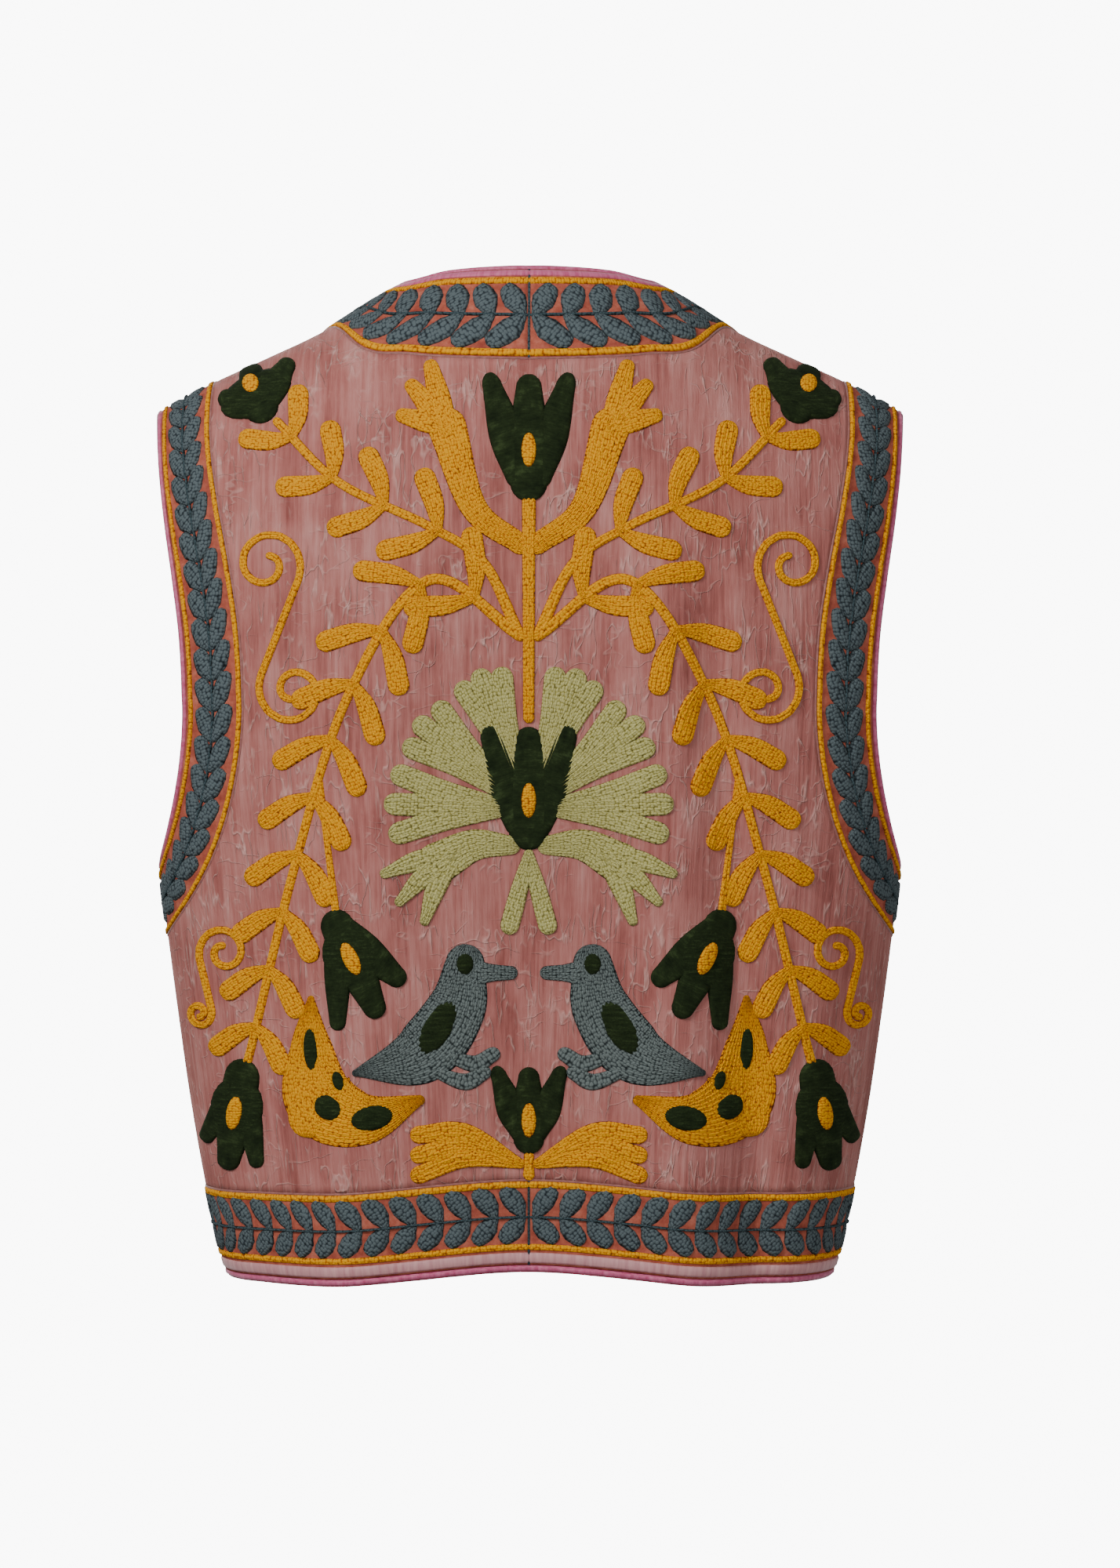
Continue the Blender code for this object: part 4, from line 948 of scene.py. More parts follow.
def add_pad(work, chart, places, widths, lift, rows=None, caps=(1.0, 1.0), fine=True):
    """Closed raised pad along a bent line, with round ends and rows of stitches along its outline."""
    step = MOTIF_STEP if fine else BORDER_LEAF_STEP
    rough_length = path_lengths(spline(places, ROUGH_PLACES))[-1]
    count = max(4, int(rough_length / step) + 1)
    spine = spline(places, count)
    half = curve_through(np.linspace(0, 1, len(widths)), widths, np.linspace(0, 1, count)) / 2
    run = np.gradient(spine, axis=0)
    run /= np.linalg.norm(run, axis=1)[:, None]
    turns = CAP_TURNS if fine else BORDER_CAP_TURNS
    turn = np.linspace(0, math.pi / 2, turns + 1)[1:]
    foot = spine[0] - run[0] * (half[0] * caps[0] * np.sin(turn))[:, None]
    tip = spine[-1] + run[-1] * (half[-1] * caps[1] * np.sin(turn))[:, None]
    line = np.vstack((foot[::-1], spine, tip))
    run = np.vstack((np.repeat(run[:1], turns, axis=0), run, np.repeat(run[-1:], turns, axis=0)))
    half = np.concatenate((half[0] * np.cos(turn)[::-1], half, half[-1] * np.cos(turn)))
    cross = np.column_stack((-run[:, 1], run[:, 0]))

    if rows is None:
        rows = max(1, round(max(widths) / CHAIN_ROW))
    columns = rows * ROW_COLUMNS if fine and rows > 1 else ROW_COLUMNS
    if rows == 0:
        columns = PLAIN_COLUMNS
    across = np.linspace(-1, 1, columns + 1)
    dome = np.sqrt(np.clip(1 - np.abs(across) ** DOME_POWER, 0, 1))
    ripple = np.abs(np.sin(math.pi * rows * (across + 1) / 2)) if columns > ROW_COLUMNS and rows else 1.0
    top = lift * dome * (ROW_LOW + (1 - ROW_LOW) * ripple) - PAD_SINK * (1 - dome)
    under = np.array((0.5, 0.0, -0.5) if fine else (0.0,))
    lane = np.concatenate((across, under))
    lifts = np.concatenate((top, np.full(len(under), -PAD_SINK)))
    ring = len(lane)

    along = path_lengths(line)
    stations = np.arange(1, len(line) - 1)
    points = line[stations, None] + cross[stations, None] * (half[stations, None] * lane)[:, :, None]
    tall = np.broadcast_to(lifts, points.shape[:2])
    # the ends are low, as the stitches are pulled down there
    ease = np.minimum(np.minimum(along[stations] - along[0], along[-1] - along[stations]) / lift, 1.0)
    tall = tall * np.where(tall > 0, np.sqrt(np.clip(ease, END_LOW, 1))[:, None], 1.0)
    flat = np.vstack((line[:1], points.reshape(-1, 2), line[-1:]))
    heights = np.concatenate(((-PAD_SINK,), tall.ravel(), (-PAD_SINK,)))
    body = chart(flat, heights) * MM

    base = len(work["points"])
    shift = THREAD_SHIFT * (base % THREAD_SHIFTS)
    row_width = CHAIN_ROW * max(rows, 1) / 2
    work["points"].extend(body)
    spread = np.abs(np.concatenate((across, np.ones(len(under)))))
    work["chart"].append((shift, 0.0))
    for i in stations:
        for k in range(ring):
            work["chart"].append((along[i] * MM + shift, lane[k] * row_width * MM))
    work["chart"].append((along[-1] * MM + shift, 0.0))
    # rim value: 1 at the pad's outline and underside, 0 along its middle; the chain-stitch finish paints
    # shadow along it
    work["rim"].extend(np.concatenate(((1.0,), np.tile(spread, len(stations)), (1.0,))))

    faces = []
    first, last = base, base + 1 + len(stations) * ring
    for k in range(ring):
        k_next = (k + 1) % ring
        faces.append((first, first + 1 + k_next, first + 1 + k))
        faces.append((last, last - ring + k, last - ring + k_next))
    for i in range(len(stations) - 1):
        here = base + 1 + i * ring
        for k in range(ring):
            k_next = (k + 1) % ring
            faces.append((here + k, here + k_next, here + ring + k_next, here + ring + k))
    middle = (1 + (len(stations) // 2) * ring) + columns // 2
    rise = body[middle] - body[middle - columns // 2 + columns + 1 + len(under) // 2]
    turned = np.cross(body[middle + 1] - body[middle], body[middle + ring] - body[middle])
    outward = np.dot(turned, rise) > 0
    work["faces"].extend(faces if outward else [face[::-1] for face in faces])


def border_chart(parts, wide):
    """Chart of a border of a given width: distance along its middle, and distance in from its edge."""
    spans = []
    start = 0.0
    for sheet, flat, _ in parts:
        lengths = path_lengths(place(sheet, flat[:, flat.shape[1] // 2])) + start
        spans.append((sheet, flat, lengths, start))
        start = lengths[-1]

    def chart(points, lift):
        found = np.zeros((len(points), 3))
        for number, (sheet, flat, lengths, begins) in enumerate(spans):
            mine = points[:, 0] >= begins if number else np.ones(len(points), bool)
            if number + 1 < len(spans):
                mine = mine & (points[:, 0] < lengths[-1])
            if not mine.any():
                continue
            columns, rows = flat.shape[:2]
            i = np.interp(points[mine, 0], lengths, np.arange(columns))
            j = np.clip(points[mine, 1] / wide, 0, 1) * (rows - 1)
            found[mine] = place(sheet, between(flat, i, j), lift[mine])
        return found

    return chart, start


# each chain-stitch finish gets four colours, from the painted shade in the holes between links to the
# painted highlight on their tops
MUSTARD = chain_stitch("mustard_wool_chain_stitch", "#5E2B00", "#AD5F00", "#DD8C00", "#EBA405")
GREY_BLUE = chain_stitch("grey_blue_wool_chain_stitch", "#15191B", "#2C3438", "#465054", "#5A6568")
DARK_STEM = chain_stitch("dark_wool_stem_stitch", "#14191A", "#232C2E", "#38464A", "#445459")
PALE_STRIP = bias_cloth("pale_pink_binding", "#B5757B", "#D9A3A3")
BORDER_WORK = {
    # border: its width, mustard lines (in from the edge, width), stem, pitch, first leaf, then lean
    # and reach of the leaf towards the edge and of the leaf away from it, and leaf width
    "neck": (53.0, ((8.0, 5.0), (50.0, 4.6)), 29.5, 17.0, 4.0, (9, 15), (13, 14), 15.5),
    "arm": (37.0, ((3.4, 3.4), (34.8, 3.6)), 18.8, 17.0, 2.0, (15, 8), (15, 8), 13.0),
    "hem": (47.0, ((9.8, 4.0), (44.6, 4.6)), 26.5, 15.0, 4.0, (9, 11), (8, 14), 13.5),
}
SEAM_LIFT = -0.35
SEAM_RADIUS = 0.8
HEM_STRIP = (3.8, 7.2)
NECK_FACING = (2.6, 5.2)


def seam_line(sheet, flat):
    """Places for a thread that lies in a seam."""
    return place(sheet, flat, SEAM_LIFT)


for (kind, side), parts in border_charts.items():
    wide, lines, stem, pitch, first_leaf, outer, inner, leaf_width = BORDER_WORK[kind.split("_")[0]]
    word = "left" if side == 1 else "right"
    runs = [[part] for part in parts] if kind == "arm" else [parts]
    mustard, leaves, stems, strips = new_work(), new_work(), new_work(), new_work()
    for run_parts in runs:
        chart, length = border_chart(run_parts, wide)
        stations = max(4, int(length / LINE_STATION))

        def run_line(work, across, width, lift, short):
            route = [(at, across) for at in np.linspace(short, length - short, stations)]
            add_pad(work, chart, route, (width,) * 3, lift, rows=1, fine=False)

        for across, width in lines:
            run_line(mustard, across, width, LINE_LIFT, 1.0)
        run_line(stems, stem, STEM_WIDTH, STEM_LIFT, 1.0)
        if kind != "arm":
            run_line(strips, *(NECK_FACING if kind == "neck" else HEM_STRIP), STRIP_LIFT, 0.5)
        for at in np.arange(first_leaf, length - max(outer[0], inner[0]) - LEAF_END_ROOM, pitch):
            for (lean, reach), way in ((outer, -1), (inner, 1)):
                foot = (at, stem + way * LEAF_FOOT_OUT)
                belly = (at + lean * LEAF_BELLY[0], stem + way * reach * LEAF_BELLY[1])
                tip = (at + lean, stem + way * reach)
                widths = [leaf_width * share for share in LEAF_WIDTHS]
                places = (foot, belly, tip)
                add_pad(leaves, chart, places, widths, BORDER_LEAF_LIFT, 3, LEAF_CAPS, fine=False)
    for end in {"neck": (0,), "arm": (0,), "hem_back": (0, -1), "hem_front": ()}[kind]:
        seam = seam_line(parts[0][0], parts[0][1][end])
        if side == 1 and end == 0 and kind != "arm":
            seam[:, 0] = 0.0
        if side == 1 or kind == "arm" or end == -1:
            add_cord(stems, seam, SEAM_RADIUS, False)
    label = "%s_%s" % (kind, word)
    made_piece("mustard_lines_" + label, mustard, MUSTARD, "mustard")
    made_piece("border_leaves_" + label, leaves, GREY_BLUE, "slate")
    made_piece("border_stem_" + label, stems, DARK_STEM, "slate")
    if strips["points"]:
        made_piece("binding_" + label, strips, PALE_STRIP if "hem" in kind else PIPING, "piping")

# ---------------------------------------------------------------------------------------------
# Seams: a rose thread drawn along every joint of panel and border, and down the two side seams to the
# hem border, where the cloth edges meet.
# ---------------------------------------------------------------------------------------------
SIDE_SEAM_PLACES = 80
SEAM_THREAD = bias_cloth("rose_seam_thread", "#7E4A44", "#A66A62")
seams = new_work()
for (kind, side), parts in border_charts.items():
    for sheet, flat, _ in parts:
        add_cord(seams, seam_line(sheet, flat[:, -1]), SEAM_RADIUS, False)
    if kind == "hem_back":
        sheet, flat, _ = parts[0]
        low = flat[-1, 0, 1]
        high = border_charts["arm", side][0][1][:, -1, 1].min()
        rises = np.linspace(low, high, SIDE_SEAM_PLACES)
        side_line = np.column_stack((np.full(SIDE_SEAM_PLACES, FLAT_GIRTH), rises))
        add_cord(seams, seam_line(sheet, side_line), SEAM_RADIUS, False)
made_piece("seam_threads", seams, SEAM_THREAD, "velvet")

# ---------------------------------------------------------------------------------------------
# Tulips, flowers and bells: dark green felt petals sewn down over padding, three to a flower, each
# with a small mustard chain-stitch heart.
# ---------------------------------------------------------------------------------------------
FELT_LIFT = 1.8
FELT_HAIR = (9.0, 1.6)
FELT_GRAIN = 1.2
HEART_LIFT = 3.2
HEAD_ROOM = 60.0
RIDGE_KEEP = 34.0
RIDGE_EASE = 0.35
TULIPS = (
    # node, foot, tip, spread of the side petals, width of the middle petal
    ("tulip_top", -95, -25, 25, 24),
    ("tulip_centre", -285, -220, 25, 26),
    ("tulip_bottom", -455, -405, 20, 20),
)
PETAL_FOOT = 0.9
PETAL_BELLY = 0.95
PETAL_TIP = 0.62
SIDE_PETAL = 0.78
SIDE_PETAL_PLACES = (0.22, 0.48, 0.80)
SIDE_PETAL_WIDTHS = (0.85, 1.1, 0.62)
SIDE_PETAL_UP = 4.0
SIDE_PETAL_POINT = 1.5
TULIP_FOOT_IN = 9.0
TULIP_TIP_IN = 8.0
TULIP_HEART = (20.0, 8.5)
TULIP_HEART_RISE = 0.38
FLOWERS = (
    # node, foot across, foot height, heading, then the turn, length and width of each petal
    ("shoulder_flower", 150, -40, 65, (-50, 20, 20), (5, 22, 24), (55, 26, 20)),
    ("side_flower", 160, -415, -80, (-20, 46, 16), (0, 46, 24), (22, 40, 16)),
    ("bell", 105, -330, -115, (-25, 42, 20), (0, 48, 22), (25, 52, 16)),
)
OVAL_SIDES = 20
OVAL_RINGS = (
    # share of the way out, share of the height
    (0.45, 1.0),
    (0.8, 0.95),
    (0.95, 0.7),
    (1.0, 0.0),
)
FLOWER_BODIES = (
    # flower, distance of its middle from the foot, length, width
    ("shoulder_flower", 8, 26, 44),
    ("side_flower", 17, 36, 31),
    ("bell", 18, 38, 32),
)
FLOWER_HEARTS = {"shoulder_flower": (8, 12, 10), "side_flower": (10, 20, 9), "bell": (9, 20, 9)}


def felt():
    """Wool felt, dark green: matt, with short matted fibres and faint pressed petal lines."""
    made, tree, shader, chart = new_finish("dark_green_wool_felt", "thread")
    hair = noise(tree, scaled(tree, chart, *FELT_HAIR), 1.0, 5.0, 0.7)
    both = calc(tree, "MULTIPLY_ADD", noise(tree, chart, 1000 / FELT_GRAIN, 4.0, 0.7), 0.5, hair)
    ground = ramp(tree, both, ((0.55, "#131C0D"), (0.80, "#222D17"), (1.0, "#394728")))
    dress(tree, shader, ground, both, 0.6, 0.0005, {"Roughness": 0.95, "Specular IOR Level": 0.12})
    return made


def behind_table(sheet):
    """Flat girth and rise at every millimetre across and up, as seen from straight behind."""
    across = np.arange(0.0, SHOULDER_EDGE)
    heights = np.arange(RINGS[0][0], HEAD_ROOM)
    table = np.zeros((len(across), len(heights), 2))
    wide = np.abs(sheet["grid"][:, :, 0])
    numbers = np.arange(FORM_STEPS + 1)
    for j, height in enumerate(heights[heights < BLADE_HEIGHT]):
        row = (height - RINGS[0][0]) / LOW_LENGTH * FORM_STEPS
        low = int(row)
        base = wide[:, low] * (1 - row + low) + wide[:, low + 1] * (row - low)
        table[:, j, 0] = np.interp(across, base, numbers) / FORM_STEPS * FLAT_GIRTH
        table[:, j, 1] = height - BLADE_HEIGHT
    upper = heights >= BLADE_HEIGHT
    for i, x in enumerate(across):
        column = np.interp(x, wide[:, FORM_STEPS], numbers)
        low = min(int(column), FORM_STEPS - 1)
        lines = sheet["grid"][low : low + 2, FORM_STEPS:, 2]
        line = lines[0] * (1 - column + low) + lines[1] * (column - low)
        girth = column / FORM_STEPS * FLAT_GIRTH
        share = np.interp(heights[upper], line, np.linspace(0, 1, FORM_STEPS + 1))
        length = column_length(sheet, girth)
        # close to the ridge the cloth lies nearly level, so a motif there is drawn in
        limit = length - RIDGE_KEEP
        rise = share * length
        table[i, upper, 0] = girth
        table[i, upper, 1] = np.where(rise > limit, limit + (rise - limit) * RIDGE_EASE, rise)
    return table


back_tables = {side: behind_table(layouts["back", side]["sheet"]) for side, _ in HALVES}


def on_back(points, lift, mirrored=False):
    """Body points of places on the back given across and up, as seen from straight behind."""
    if mirrored:
        points = points * (-1, 1)
    found = np.zeros((len(points), 3))
    for side, _ in HALVES:
        mine = points[:, 0] >= 0 if side == 1 else points[:, 0] < 0
        if not mine.any():
            continue
        table = back_tables[side]
        i = np.clip(np.abs(points[mine, 0]), 0, table.shape[0] - 1)
        j = np.clip(points[mine, 1] - RINGS[0][0], 0, table.shape[1] - 1)
        found[mine] = place(layouts["back", side]["sheet"], between(table, i, j), lift[mine])
    return found


def on_back_mirrored(points, lift):
    return on_back(points, lift, mirrored=True)


SIDES = (("left", on_back), ("right", on_back_mirrored))


def toward(start, heading, distance):
    """Place at a distance from another, by heading in degrees."""
    turn = math.radians(heading)
    return (start[0] + math.cos(turn) * distance, start[1] + math.sin(turn) * distance)


def ray(start, heading, length, bow=0.0):
    """Three places along a stroke, bowed to its left by a distance at the middle."""
    middle = toward(toward(start, heading, length / 2), heading + 90, bow)
    return (start, middle, toward(start, heading, length))


def along_line(line, run, at):
    """Place and heading at a distance along a flat line."""
    here, ahead = ([np.interp(at + on, run, line[:, k]) for k in (0, 1)] for on in (0, 2))
    return here, math.degrees(math.atan2(ahead[1] - here[1], ahead[0] - here[0]))


def add_oval(work, chart, centre, heading, length, width, lift):
    """Domed oval patch, longest along its heading, closed underneath."""
    turn = math.radians(heading)
    way = np.array((math.cos(turn), math.sin(turn)))
    angles = np.arange(OVAL_SIDES) * 2 * math.pi / OVAL_SIDES
    rim = np.outer(np.cos(angles) * length / 2, way)
    rim = rim + np.outer(np.sin(angles) * width / 2, (-way[1], way[0]))
    flat = [np.zeros((1, 2))] + [rim * part for part, _ in OVAL_RINGS] + [np.zeros((1, 2))]
    heights = [[lift]] + [[lift * tall - PAD_SINK * (1 - tall)] * OVAL_SIDES for _, tall in OVAL_RINGS]
    flat, heights = np.vstack(flat), np.concatenate(heights + [[-PAD_SINK]])
    body = chart(flat + centre, heights) * MM
    base = len(work["points"])
    work["points"].extend(body)
    work["chart"].extend(flat * MM + THREAD_SHIFT * (base % THREAD_SHIFTS))
    # rim value: 0 at the middle, rising to 1 at the outline and underneath; the chain-stitch finish paints
    # shadow where it nears 1
    shades = [[part] * OVAL_SIDES for part, _ in OVAL_RINGS]
    work["rim"].extend(np.concatenate([[0.0]] + shades + [[1.0]]))
    faces = []
    under = base + len(flat) - 1
    for k in range(OVAL_SIDES):
        k_next = (k + 1) % OVAL_SIDES
        faces.append((base, base + 1 + k, base + 1 + k_next))
        for ring in range(len(OVAL_RINGS) - 1):
            near = base + 1 + ring * OVAL_SIDES
            far = near + OVAL_SIDES
            faces.append((near + k, far + k, far + k_next, near + k_next))
        faces.append((under, under - OVAL_SIDES + k_next, under - OVAL_SIDES + k))
    turned = np.cross(body[1] - body[0], body[2] - body[0])
    outward = np.dot(turned, body[0] - body[-1]) > 0
    work["faces"].extend(faces if outward else [face[::-1] for face in faces])


FELT = felt()
hearts = new_work()
flower_bodies = {node: sizes for node, *sizes in FLOWER_BODIES}
for node, foot, tip, spread, width in TULIPS:
    work = new_work()
    rises = (foot + TULIP_FOOT_IN, (foot + tip) / 2, tip - TULIP_TIP_IN)
    side_rises = (rises[0] + SIDE_PETAL_UP, rises[1], rises[2])
    slim = width * SIDE_PETAL
    for way in (1, -1):
        bend = [(way * spread * part, rise) for part, rise in zip(SIDE_PETAL_PLACES, side_rises)]
        widths = [slim * part for part in SIDE_PETAL_WIDTHS]
        add_pad(work, on_back, bend, widths, FELT_LIFT, rows=0, caps=(1.0, SIDE_PETAL_POINT))
    upright = [(0.0, rise) for rise in rises]
    widths = [width * part for part in (PETAL_FOOT, PETAL_BELLY, PETAL_TIP)]
    add_pad(work, on_back, upright, widths, FELT_LIFT + 0.25, rows=0)
    made_piece(node + "_in_felt", work, FELT, "green", node)
    middle = (0.0, foot + (tip - foot) * TULIP_HEART_RISE)
    add_oval(hearts, on_back, middle, 90, *TULIP_HEART, HEART_LIFT)
for node, across, height, heading, *petals in FLOWERS:
    for word, chart in SIDES:
        work = new_work()
        for number, (turn, length, width) in enumerate(petals):
            widths = (width * PETAL_FOOT, width, width * PETAL_TIP)
            lift = FELT_LIFT + 0.2 * (number == 1)
            add_pad(work, chart, ray((across, height), heading + turn, length), widths, lift, rows=0)
        out, length, width = flower_bodies[node]
        middle = toward((across, height), heading, out)
        add_oval(work, chart, middle, heading, length, width, FELT_LIFT + 0.3)
        made_piece("%s_in_felt_%s" % (node, word), work, FELT, "green", node + "_" + word)
        start, length, width = FLOWER_HEARTS[node]
        middle = toward((across, height), heading, start + length / 2)
        add_oval(hearts, chart, middle, heading, length, width, HEART_LIFT)
made_piece("flower_hearts", hearts, MUSTARD, "mustard")

# ---------------------------------------------------------------------------------------------
# Palmette: pale green chain stitch round the middle tulip. Each leaf is three lobes worked from one
# foot, the lower pair droops and ends in pointed fingers, and two legs stand under it.
# ---------------------------------------------------------------------------------------------
PALM_LIFT = 1.6
FAN_CENTRE = (0.0, -265.0)
FAN_INNER = 17.0
FAN_LEAVES = (
    # node, heading, length, width across the three lobes
    ("fan_top", 70, 58, 33),
    ("fan_upper", 38, 56, 37),
    ("fan_side", 2, 56, 43),
)
LOBE_WIDTH = 11.5
LOBE_SHORT = 3.0
PALM_DROOP = ((10, -285), (30, -285), (50, -295))
PALM_DROOP_WIDTHS = (11, 18, 24)
FINGER_FOOT = (40, -290)
FINGER_HEADING = -15
FINGER_FAN = 25
FINGERS = 3
FINGER_LENGTH = 40
FINGER_BOW = 2.0
FINGER_WIDTHS = (9, 12, 6)
LEG_FOOT = (0, -290)
LEG_HEADING = -75
LEG_LENGTH = 40
LEG_WIDTHS = (6, 10, 11)
# four colours from the painted shade in the holes between links to the painted highlight on their tops
PALE_GREEN = chain_stitch("pale_green_wool_chain_stitch", "#46421C", "#837C40", "#A9A25C", "#BFB978")
for word, chart in SIDES:
    for node, heading, length, spread in FAN_LEAVES:
        work = new_work()
        foot = toward(FAN_CENTRE, heading, FAN_INNER)
        for lobe in (-1, 1, 0):
            short, lift = (LOBE_SHORT, PALM_LIFT) if lobe else (0.0, PALM_LIFT + 0.15)
            reach = ((0.0, 3.0), (length * 0.5, spread * 0.17), (length - short, (spread - LOBE_WIDTH) / 2))
            places = [toward(toward(foot, heading, on), heading + 90, lobe * out) for on, out in reach]
            add_pad(work, chart, places, (6, spread * 0.30, LOBE_WIDTH + 1.5), lift)
        made_piece("%s_leaf_%s" % (node, word), work, PALE_GREEN, "pale", "%s_%s" % (node, word))
    work = new_work()
    add_pad(work, chart, PALM_DROOP, PALM_DROOP_WIDTHS, PALM_LIFT)
    for number in range(FINGERS):
        heading = FINGER_HEADING - FINGER_FAN * number
        finger = ray(FINGER_FOOT, heading, FINGER_LENGTH, FINGER_BOW)
        add_pad(work, chart, finger, FINGER_WIDTHS, PALM_LIFT + 0.1)
    made_piece("fan_lower_leaf_" + word, work, PALE_GREEN, "pale", "fan_lower_" + word)
    work = new_work()
    add_pad(work, chart, ray(LEG_FOOT, LEG_HEADING, LEG_LENGTH), LEG_WIDTHS, PALM_LIFT + 0.2)
    made_piece("fan_leg_leaf_" + word, work, PALE_GREEN, "pale", "fan_leg_" + word)

# ---------------------------------------------------------------------------------------------
# Stem, arms and vines: mustard wool chain stitch in close rows. Two arms end in three-fingered
# hands beside the upper tulip, and leafy vines run out to the shoulder and the side flowers.
# ---------------------------------------------------------------------------------------------
VINE_LIFT = 1.6
UPPER_VINE = ((5, -170), (25, -130), (55, -110), (105, -85), (140, -50))
LOWER_VINE = ((5, -170), (55, -140), (100, -205), (130, -300), (155, -400), (160, -410))
VINE_WIDTHS = (7, 5.5, 5.5)
STEM_WIDTHS = (8, 7, 6.5)
POST_WIDTHS = (6, 6, 7)
STALK_WIDTHS = (4, 4, 5)
LEAF_PITCH = 33.0
LEAF_LENGTH = 34.0
LEAF_LENGTH_END = 24.0
LEAF_SPREAD = (5, 12.5 * 0.9, 12.5)
LEAF_BOW = 1.5
LEAF_TURN = 48.0
STEM_SHORT = 6
POST_LENGTH = 10
ARM = ((5, -120), (30, -100), (45, -55))
ARM_WIDTHS = (12, 15, 22)
HAND = ((75, 35), (50, 30), (15, 25))
HAND_WIDTHS = (12, 13, 9)
BELL_STALK = ((115, -250), (110, -290), (105, -330))
VINES = (
    # route, first leaf, bare end
    (UPPER_VINE, 75.0, 12.0),
    (LOWER_VINE, 65.0 - LEAF_PITCH, 20.0),
)
work = new_work()
stem = ray((0, TULIPS[0][1] - 1), -90, TULIPS[0][1] - TULIPS[1][2] - STEM_SHORT)
add_pad(work, on_back, stem, STEM_WIDTHS, VINE_LIFT + 0.3, rows=3)
add_pad(work, on_back, ray((0, TULIPS[2][1] - 1), -90, POST_LENGTH), POST_WIDTHS, VINE_LIFT, rows=2)
for _, chart in SIDES:
    add_pad(work, chart, ARM, ARM_WIDTHS, VINE_LIFT)
    for heading, length in HAND:
        add_pad(work, chart, ray(ARM[-1], heading, length), HAND_WIDTHS, VINE_LIFT + 0.1)
made_piece("stem_and_arms", work, MUSTARD, "mustard", "stem")
for word, chart in SIDES:
    work = new_work()
    for route, first_leaf, bare_end in VINES:
        line = spline(route)
        run = path_lengths(line)
        add_pad(work, chart, route, VINE_WIDTHS, VINE_LIFT, rows=2)
        for at in np.arange(first_leaf, run[-1] - bare_end, LEAF_PITCH):
            foot, heading = along_line(line, run, at)
            length = LEAF_LENGTH + (LEAF_LENGTH_END - LEAF_LENGTH) * at / run[-1]
            for turn in (LEAF_TURN, -LEAF_TURN):
                leaf = ray(foot, heading + turn, length, math.copysign(LEAF_BOW, turn))
                add_pad(work, chart, leaf, LEAF_SPREAD, VINE_LIFT + 0.1)
    add_pad(work, chart, BELL_STALK, STALK_WIDTHS, VINE_LIFT - 0.2, rows=2)
    made_piece("vines_" + word, work, MUSTARD, "mustard", "spray_" + word)

# ---------------------------------------------------------------------------------------------
# Scrolls: two thick mustard chain-stitch lines at each side of the back, a large one by the armhole
# and a small one near the waist, each coiled at both ends.
# ---------------------------------------------------------------------------------------------
SCROLL_WIDTHS = (4.6,) * 3
SCROLLS = (
    # first coil's centre and radius, second coil's centre and radius, turns (less than none for a
    # coil the other way)
    ((145, -130), 20, (130, -200), 20, 1.25),
    ((170, -345), 15, (185, -380), 8, -1.25),
)
COIL_START = 0.25
COIL_PLACES = 22
SCROLL_PLACES = 70


def coil(centre, radius, heading, turns):
    """Places round a coil that opens outwards to a radius and ends at a heading."""
    swing = np.linspace(heading - 360 * turns, heading, COIL_PLACES)
    sizes = np.linspace(radius * COIL_START, radius, COIL_PLACES)
    return np.array([toward(centre, angle, size) for angle, size in zip(swing, sizes)])


def scroll(near, near_radius, far, far_radius, turns):
    """S line that opens out of one coil and closes into another, turned the other way."""
    heading = math.degrees(math.atan2(far[1] - near[1], far[0] - near[0]))
    lean = math.degrees(math.acos((near_radius + far_radius) / math.dist(near, far)))
    leaves = heading - math.copysign(lean, turns)
    closing = coil(far, far_radius, leaves + 180, turns)[::-1]
    return np.vstack((coil(near, near_radius, leaves, turns), closing))


for word, chart in SIDES:
    work = new_work()
    for row in SCROLLS:
        even = resample(scroll(*row), np.linspace(0, 1, SCROLL_PLACES))
        add_pad(work, chart, even, SCROLL_WIDTHS, VINE_LIFT - 0.2, rows=2)
    made_piece("scrolls_" + word, work, MUSTARD, "mustard")

# ---------------------------------------------------------------------------------------------
# Birds: a facing pair in grey-blue wool chain stitch, its rows following the body, with a felt eye
# and wing and two hooked toes.
# ---------------------------------------------------------------------------------------------
BIRD_LIFT = 1.8
# four colours from the painted shade in the holes between links to the painted highlight on their tops
BIRD_BLUE = chain_stitch("blue_grey_wool_chain_stitch", "#15191A", "#2F3636", "#505958", "#6B7472")
BIRD_BODY = ((95, -410), (60, -400), (40, -375), (35, -350))
BIRD_WIDTHS = (4, 34, 33, 22)
BEAK_FOOT = (30, -355)
BEAK_LENGTH = 20
BEAK_WIDTHS = (16, 10, 8)
TOE = ((0, 0), (-15, -5), (-25, 0))
TOE_WIDTHS = (7, 10, 9)
TOE_FEET = ((45, -400), (50, -410))
EYE = (35, -350)
EYE_SIZE = (12, 9.5)
WING = (50, -385)
WING_SIZE = (34, 16)
for word, chart in SIDES:
    work = new_work()
    add_pad(work, chart, BIRD_BODY, BIRD_WIDTHS, BIRD_LIFT)
    add_pad(work, chart, ray(BEAK_FOOT, 180, BEAK_LENGTH), BEAK_WIDTHS, BIRD_LIFT - 0.2)
    for foot in TOE_FEET:
        add_pad(work, chart, np.array(TOE) + foot, TOE_WIDTHS, BIRD_LIFT - 0.3, rows=2)
    made_piece("bird_" + word + "_in_wool", work, BIRD_BLUE, "slate", "bird_" + word)
    work = new_work()
    add_oval(work, chart, EYE, 90, *EYE_SIZE, BIRD_LIFT + 0.7)
    add_oval(work, chart, WING, -60, *WING_SIZE, BIRD_LIFT + 0.5)
    made_piece("bird_eye_and_wing_" + word, work, FELT, "green")

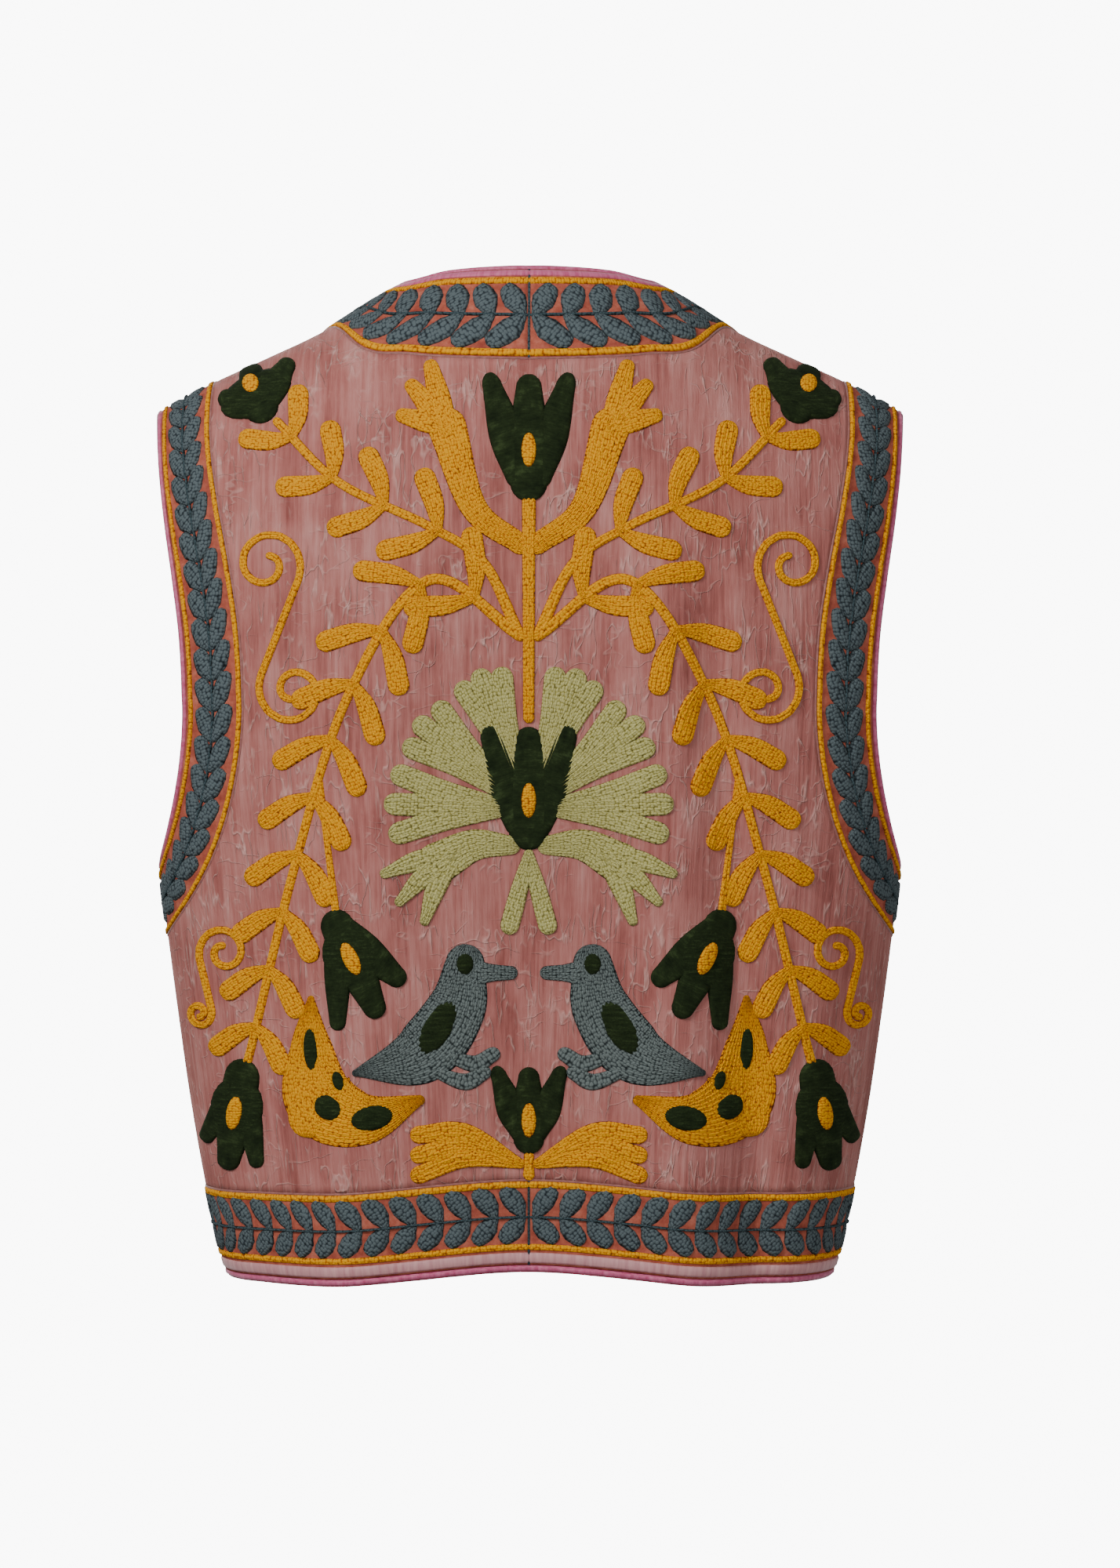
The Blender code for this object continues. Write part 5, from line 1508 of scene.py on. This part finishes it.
# ---------------------------------------------------------------------------------------------
# Crescents and base leaves: mustard chain stitch behind the birds' tails, with green felt spots, and
# a pair of curled leaves under the lowest tulip.
# ---------------------------------------------------------------------------------------------
CRESCENT = ((120, -370), (120, -395), (115, -425), (90, -435), (60, -425))
CRESCENT_WIDTHS = (4, 24, 42, 30, 6)
CORNER = ((120, -415), -85, 20)
CORNER_WIDTHS = (24, 26, 24)
SPOTS = (
    # share of the way along the crescent, distance outwards from its line, length, width
    (0.24, 0, 24, 8),
    (0.42, -14, 11, 6),
    (0.54, 0, 16, 14),
    (0.76, 0, 24, 14),
)
BASE_LEAF = ((5, -460), (35, -450), (60, -455))
BASE_WIDTHS = (6, 11, 10.5)
BASE_LOBES = (-1, 0, 1)
BASE_LOBE_PITCH = (0, 7, 11)
for word, chart in SIDES:
    work = new_work()
    add_pad(work, chart, CRESCENT, CRESCENT_WIDTHS, VINE_LIFT)
    add_pad(work, chart, ray(*CORNER), CORNER_WIDTHS, VINE_LIFT + 0.1)
    made_piece("crescent_" + word, work, MUSTARD, "mustard", "paisley_" + word)
    work = new_work()
    line = spline(CRESCENT)
    run = path_lengths(line)
    for share, out, length, width in SPOTS:
        here, heading = along_line(line, run, run[-1] * share)
        centre = toward(here, heading + 90, out)
        add_oval(work, chart, centre, heading, length, width, VINE_LIFT + 0.7)
    made_piece("crescent_spots_" + word, work, FELT, "green")
    work = new_work()
    for lobe in BASE_LOBES:
        places = [(x, y - lobe * apart) for (x, y), apart in zip(BASE_LEAF, BASE_LOBE_PITCH)]
        add_pad(work, chart, places, BASE_WIDTHS, VINE_LIFT)
    made_piece("base_leaf_" + word + "_in_wool", work, MUSTARD, "mustard", "base_leaf_" + word)

# ---------------------------------------------------------------------------------------------
# Floor, light and camera: pale paper under and before the garment, a key and a fill panel behind it
# on the side that the camera sees, a third panel in front, and the camera level with its middle.
# ---------------------------------------------------------------------------------------------
PAPER_SIZE = 14
PAPER_GLOW = 9.0
FLOOR_AT = (0, 0, -1.15)
WALL_AT = (0, -2.2, 0)
bpy.ops.mesh.primitive_plane_add(size=PAPER_SIZE, location=FLOOR_AT)
floor = bpy.context.object
floor.name = "studio_floor"
bpy.ops.mesh.primitive_plane_add(size=PAPER_SIZE, location=WALL_AT, rotation=(math.pi / 2, 0, 0))
wall = bpy.context.object
wall.name = "studio_wall"
# the paper glows, so that it is even and white
paper, _, paper_shader, _ = new_finish("pale_studio_paper")
paper_shader.inputs["Base Color"].default_value = colour("#F4F3F1")
paper_shader.inputs["Roughness"].default_value = 0.95
paper_shader.inputs["Emission Color"].default_value = colour("#FFFFFF")
paper_shader.inputs["Emission Strength"].default_value = PAPER_GLOW
for sheet_of_paper in (floor, wall):
    sheet_of_paper.data.materials.append(paper)
    sheet_of_paper.visible_diffuse = False
    sheet_of_paper.visible_glossy = False


def soft_light(name, at, towards, size, power):
    """Large soft panel of light."""
    lamp = bpy.data.lights.new(name, "AREA")
    lamp.shape = "SQUARE"
    lamp.size = size
    lamp.energy = power
    made = bpy.data.objects.new(name, lamp)
    made.location = at
    made.rotation_euler = (Vector(towards) - Vector(at)).to_track_quat("-Z", "Y").to_euler()
    bpy.context.scene.collection.objects.link(made)


GARMENT_MIDDLE = (0.0, 0.0, -0.25)
ROOM_LIGHT = 0.3
soft_light("key_panel", (1.5, 2.0, 1.2), GARMENT_MIDDLE, 0.8, 62)
soft_light("fill_panel", (-1.6, 2.2, 0.3), GARMENT_MIDDLE, 1.8, 16)
soft_light("front_panel_light", (0.6, -1.9, 0.4), (0.6, 0.0, 0.4), 1.5, 30)
world = bpy.data.worlds.new("soft_room")
bpy.context.scene.world = world
world.use_nodes = True
room = world.node_tree.nodes["Background"]
room.inputs["Color"].default_value = (1, 1, 1, 1)
room.inputs["Strength"].default_value = ROOM_LIGHT

CAMERA_DISTANCE = 2.5
CAMERA_ACROSS = -0.0171
CAMERA_HEIGHT = -0.2514
FRAME_PIXELS = 2000
MM_PER_PIXEL = 0.449
FRAME_HEIGHT = FRAME_PIXELS * MM_PER_PIXEL * MM
camera = bpy.data.cameras.new("camera")
camera.sensor_width = 36.0
camera.lens = camera.sensor_width * CAMERA_DISTANCE / FRAME_HEIGHT
eye = bpy.data.objects.new("camera", camera)
eye.location = (CAMERA_ACROSS, CAMERA_DISTANCE, CAMERA_HEIGHT)
eye.rotation_euler = (math.pi / 2, 0, math.pi)
bpy.context.scene.collection.objects.link(eye)
bpy.context.scene.camera = eye
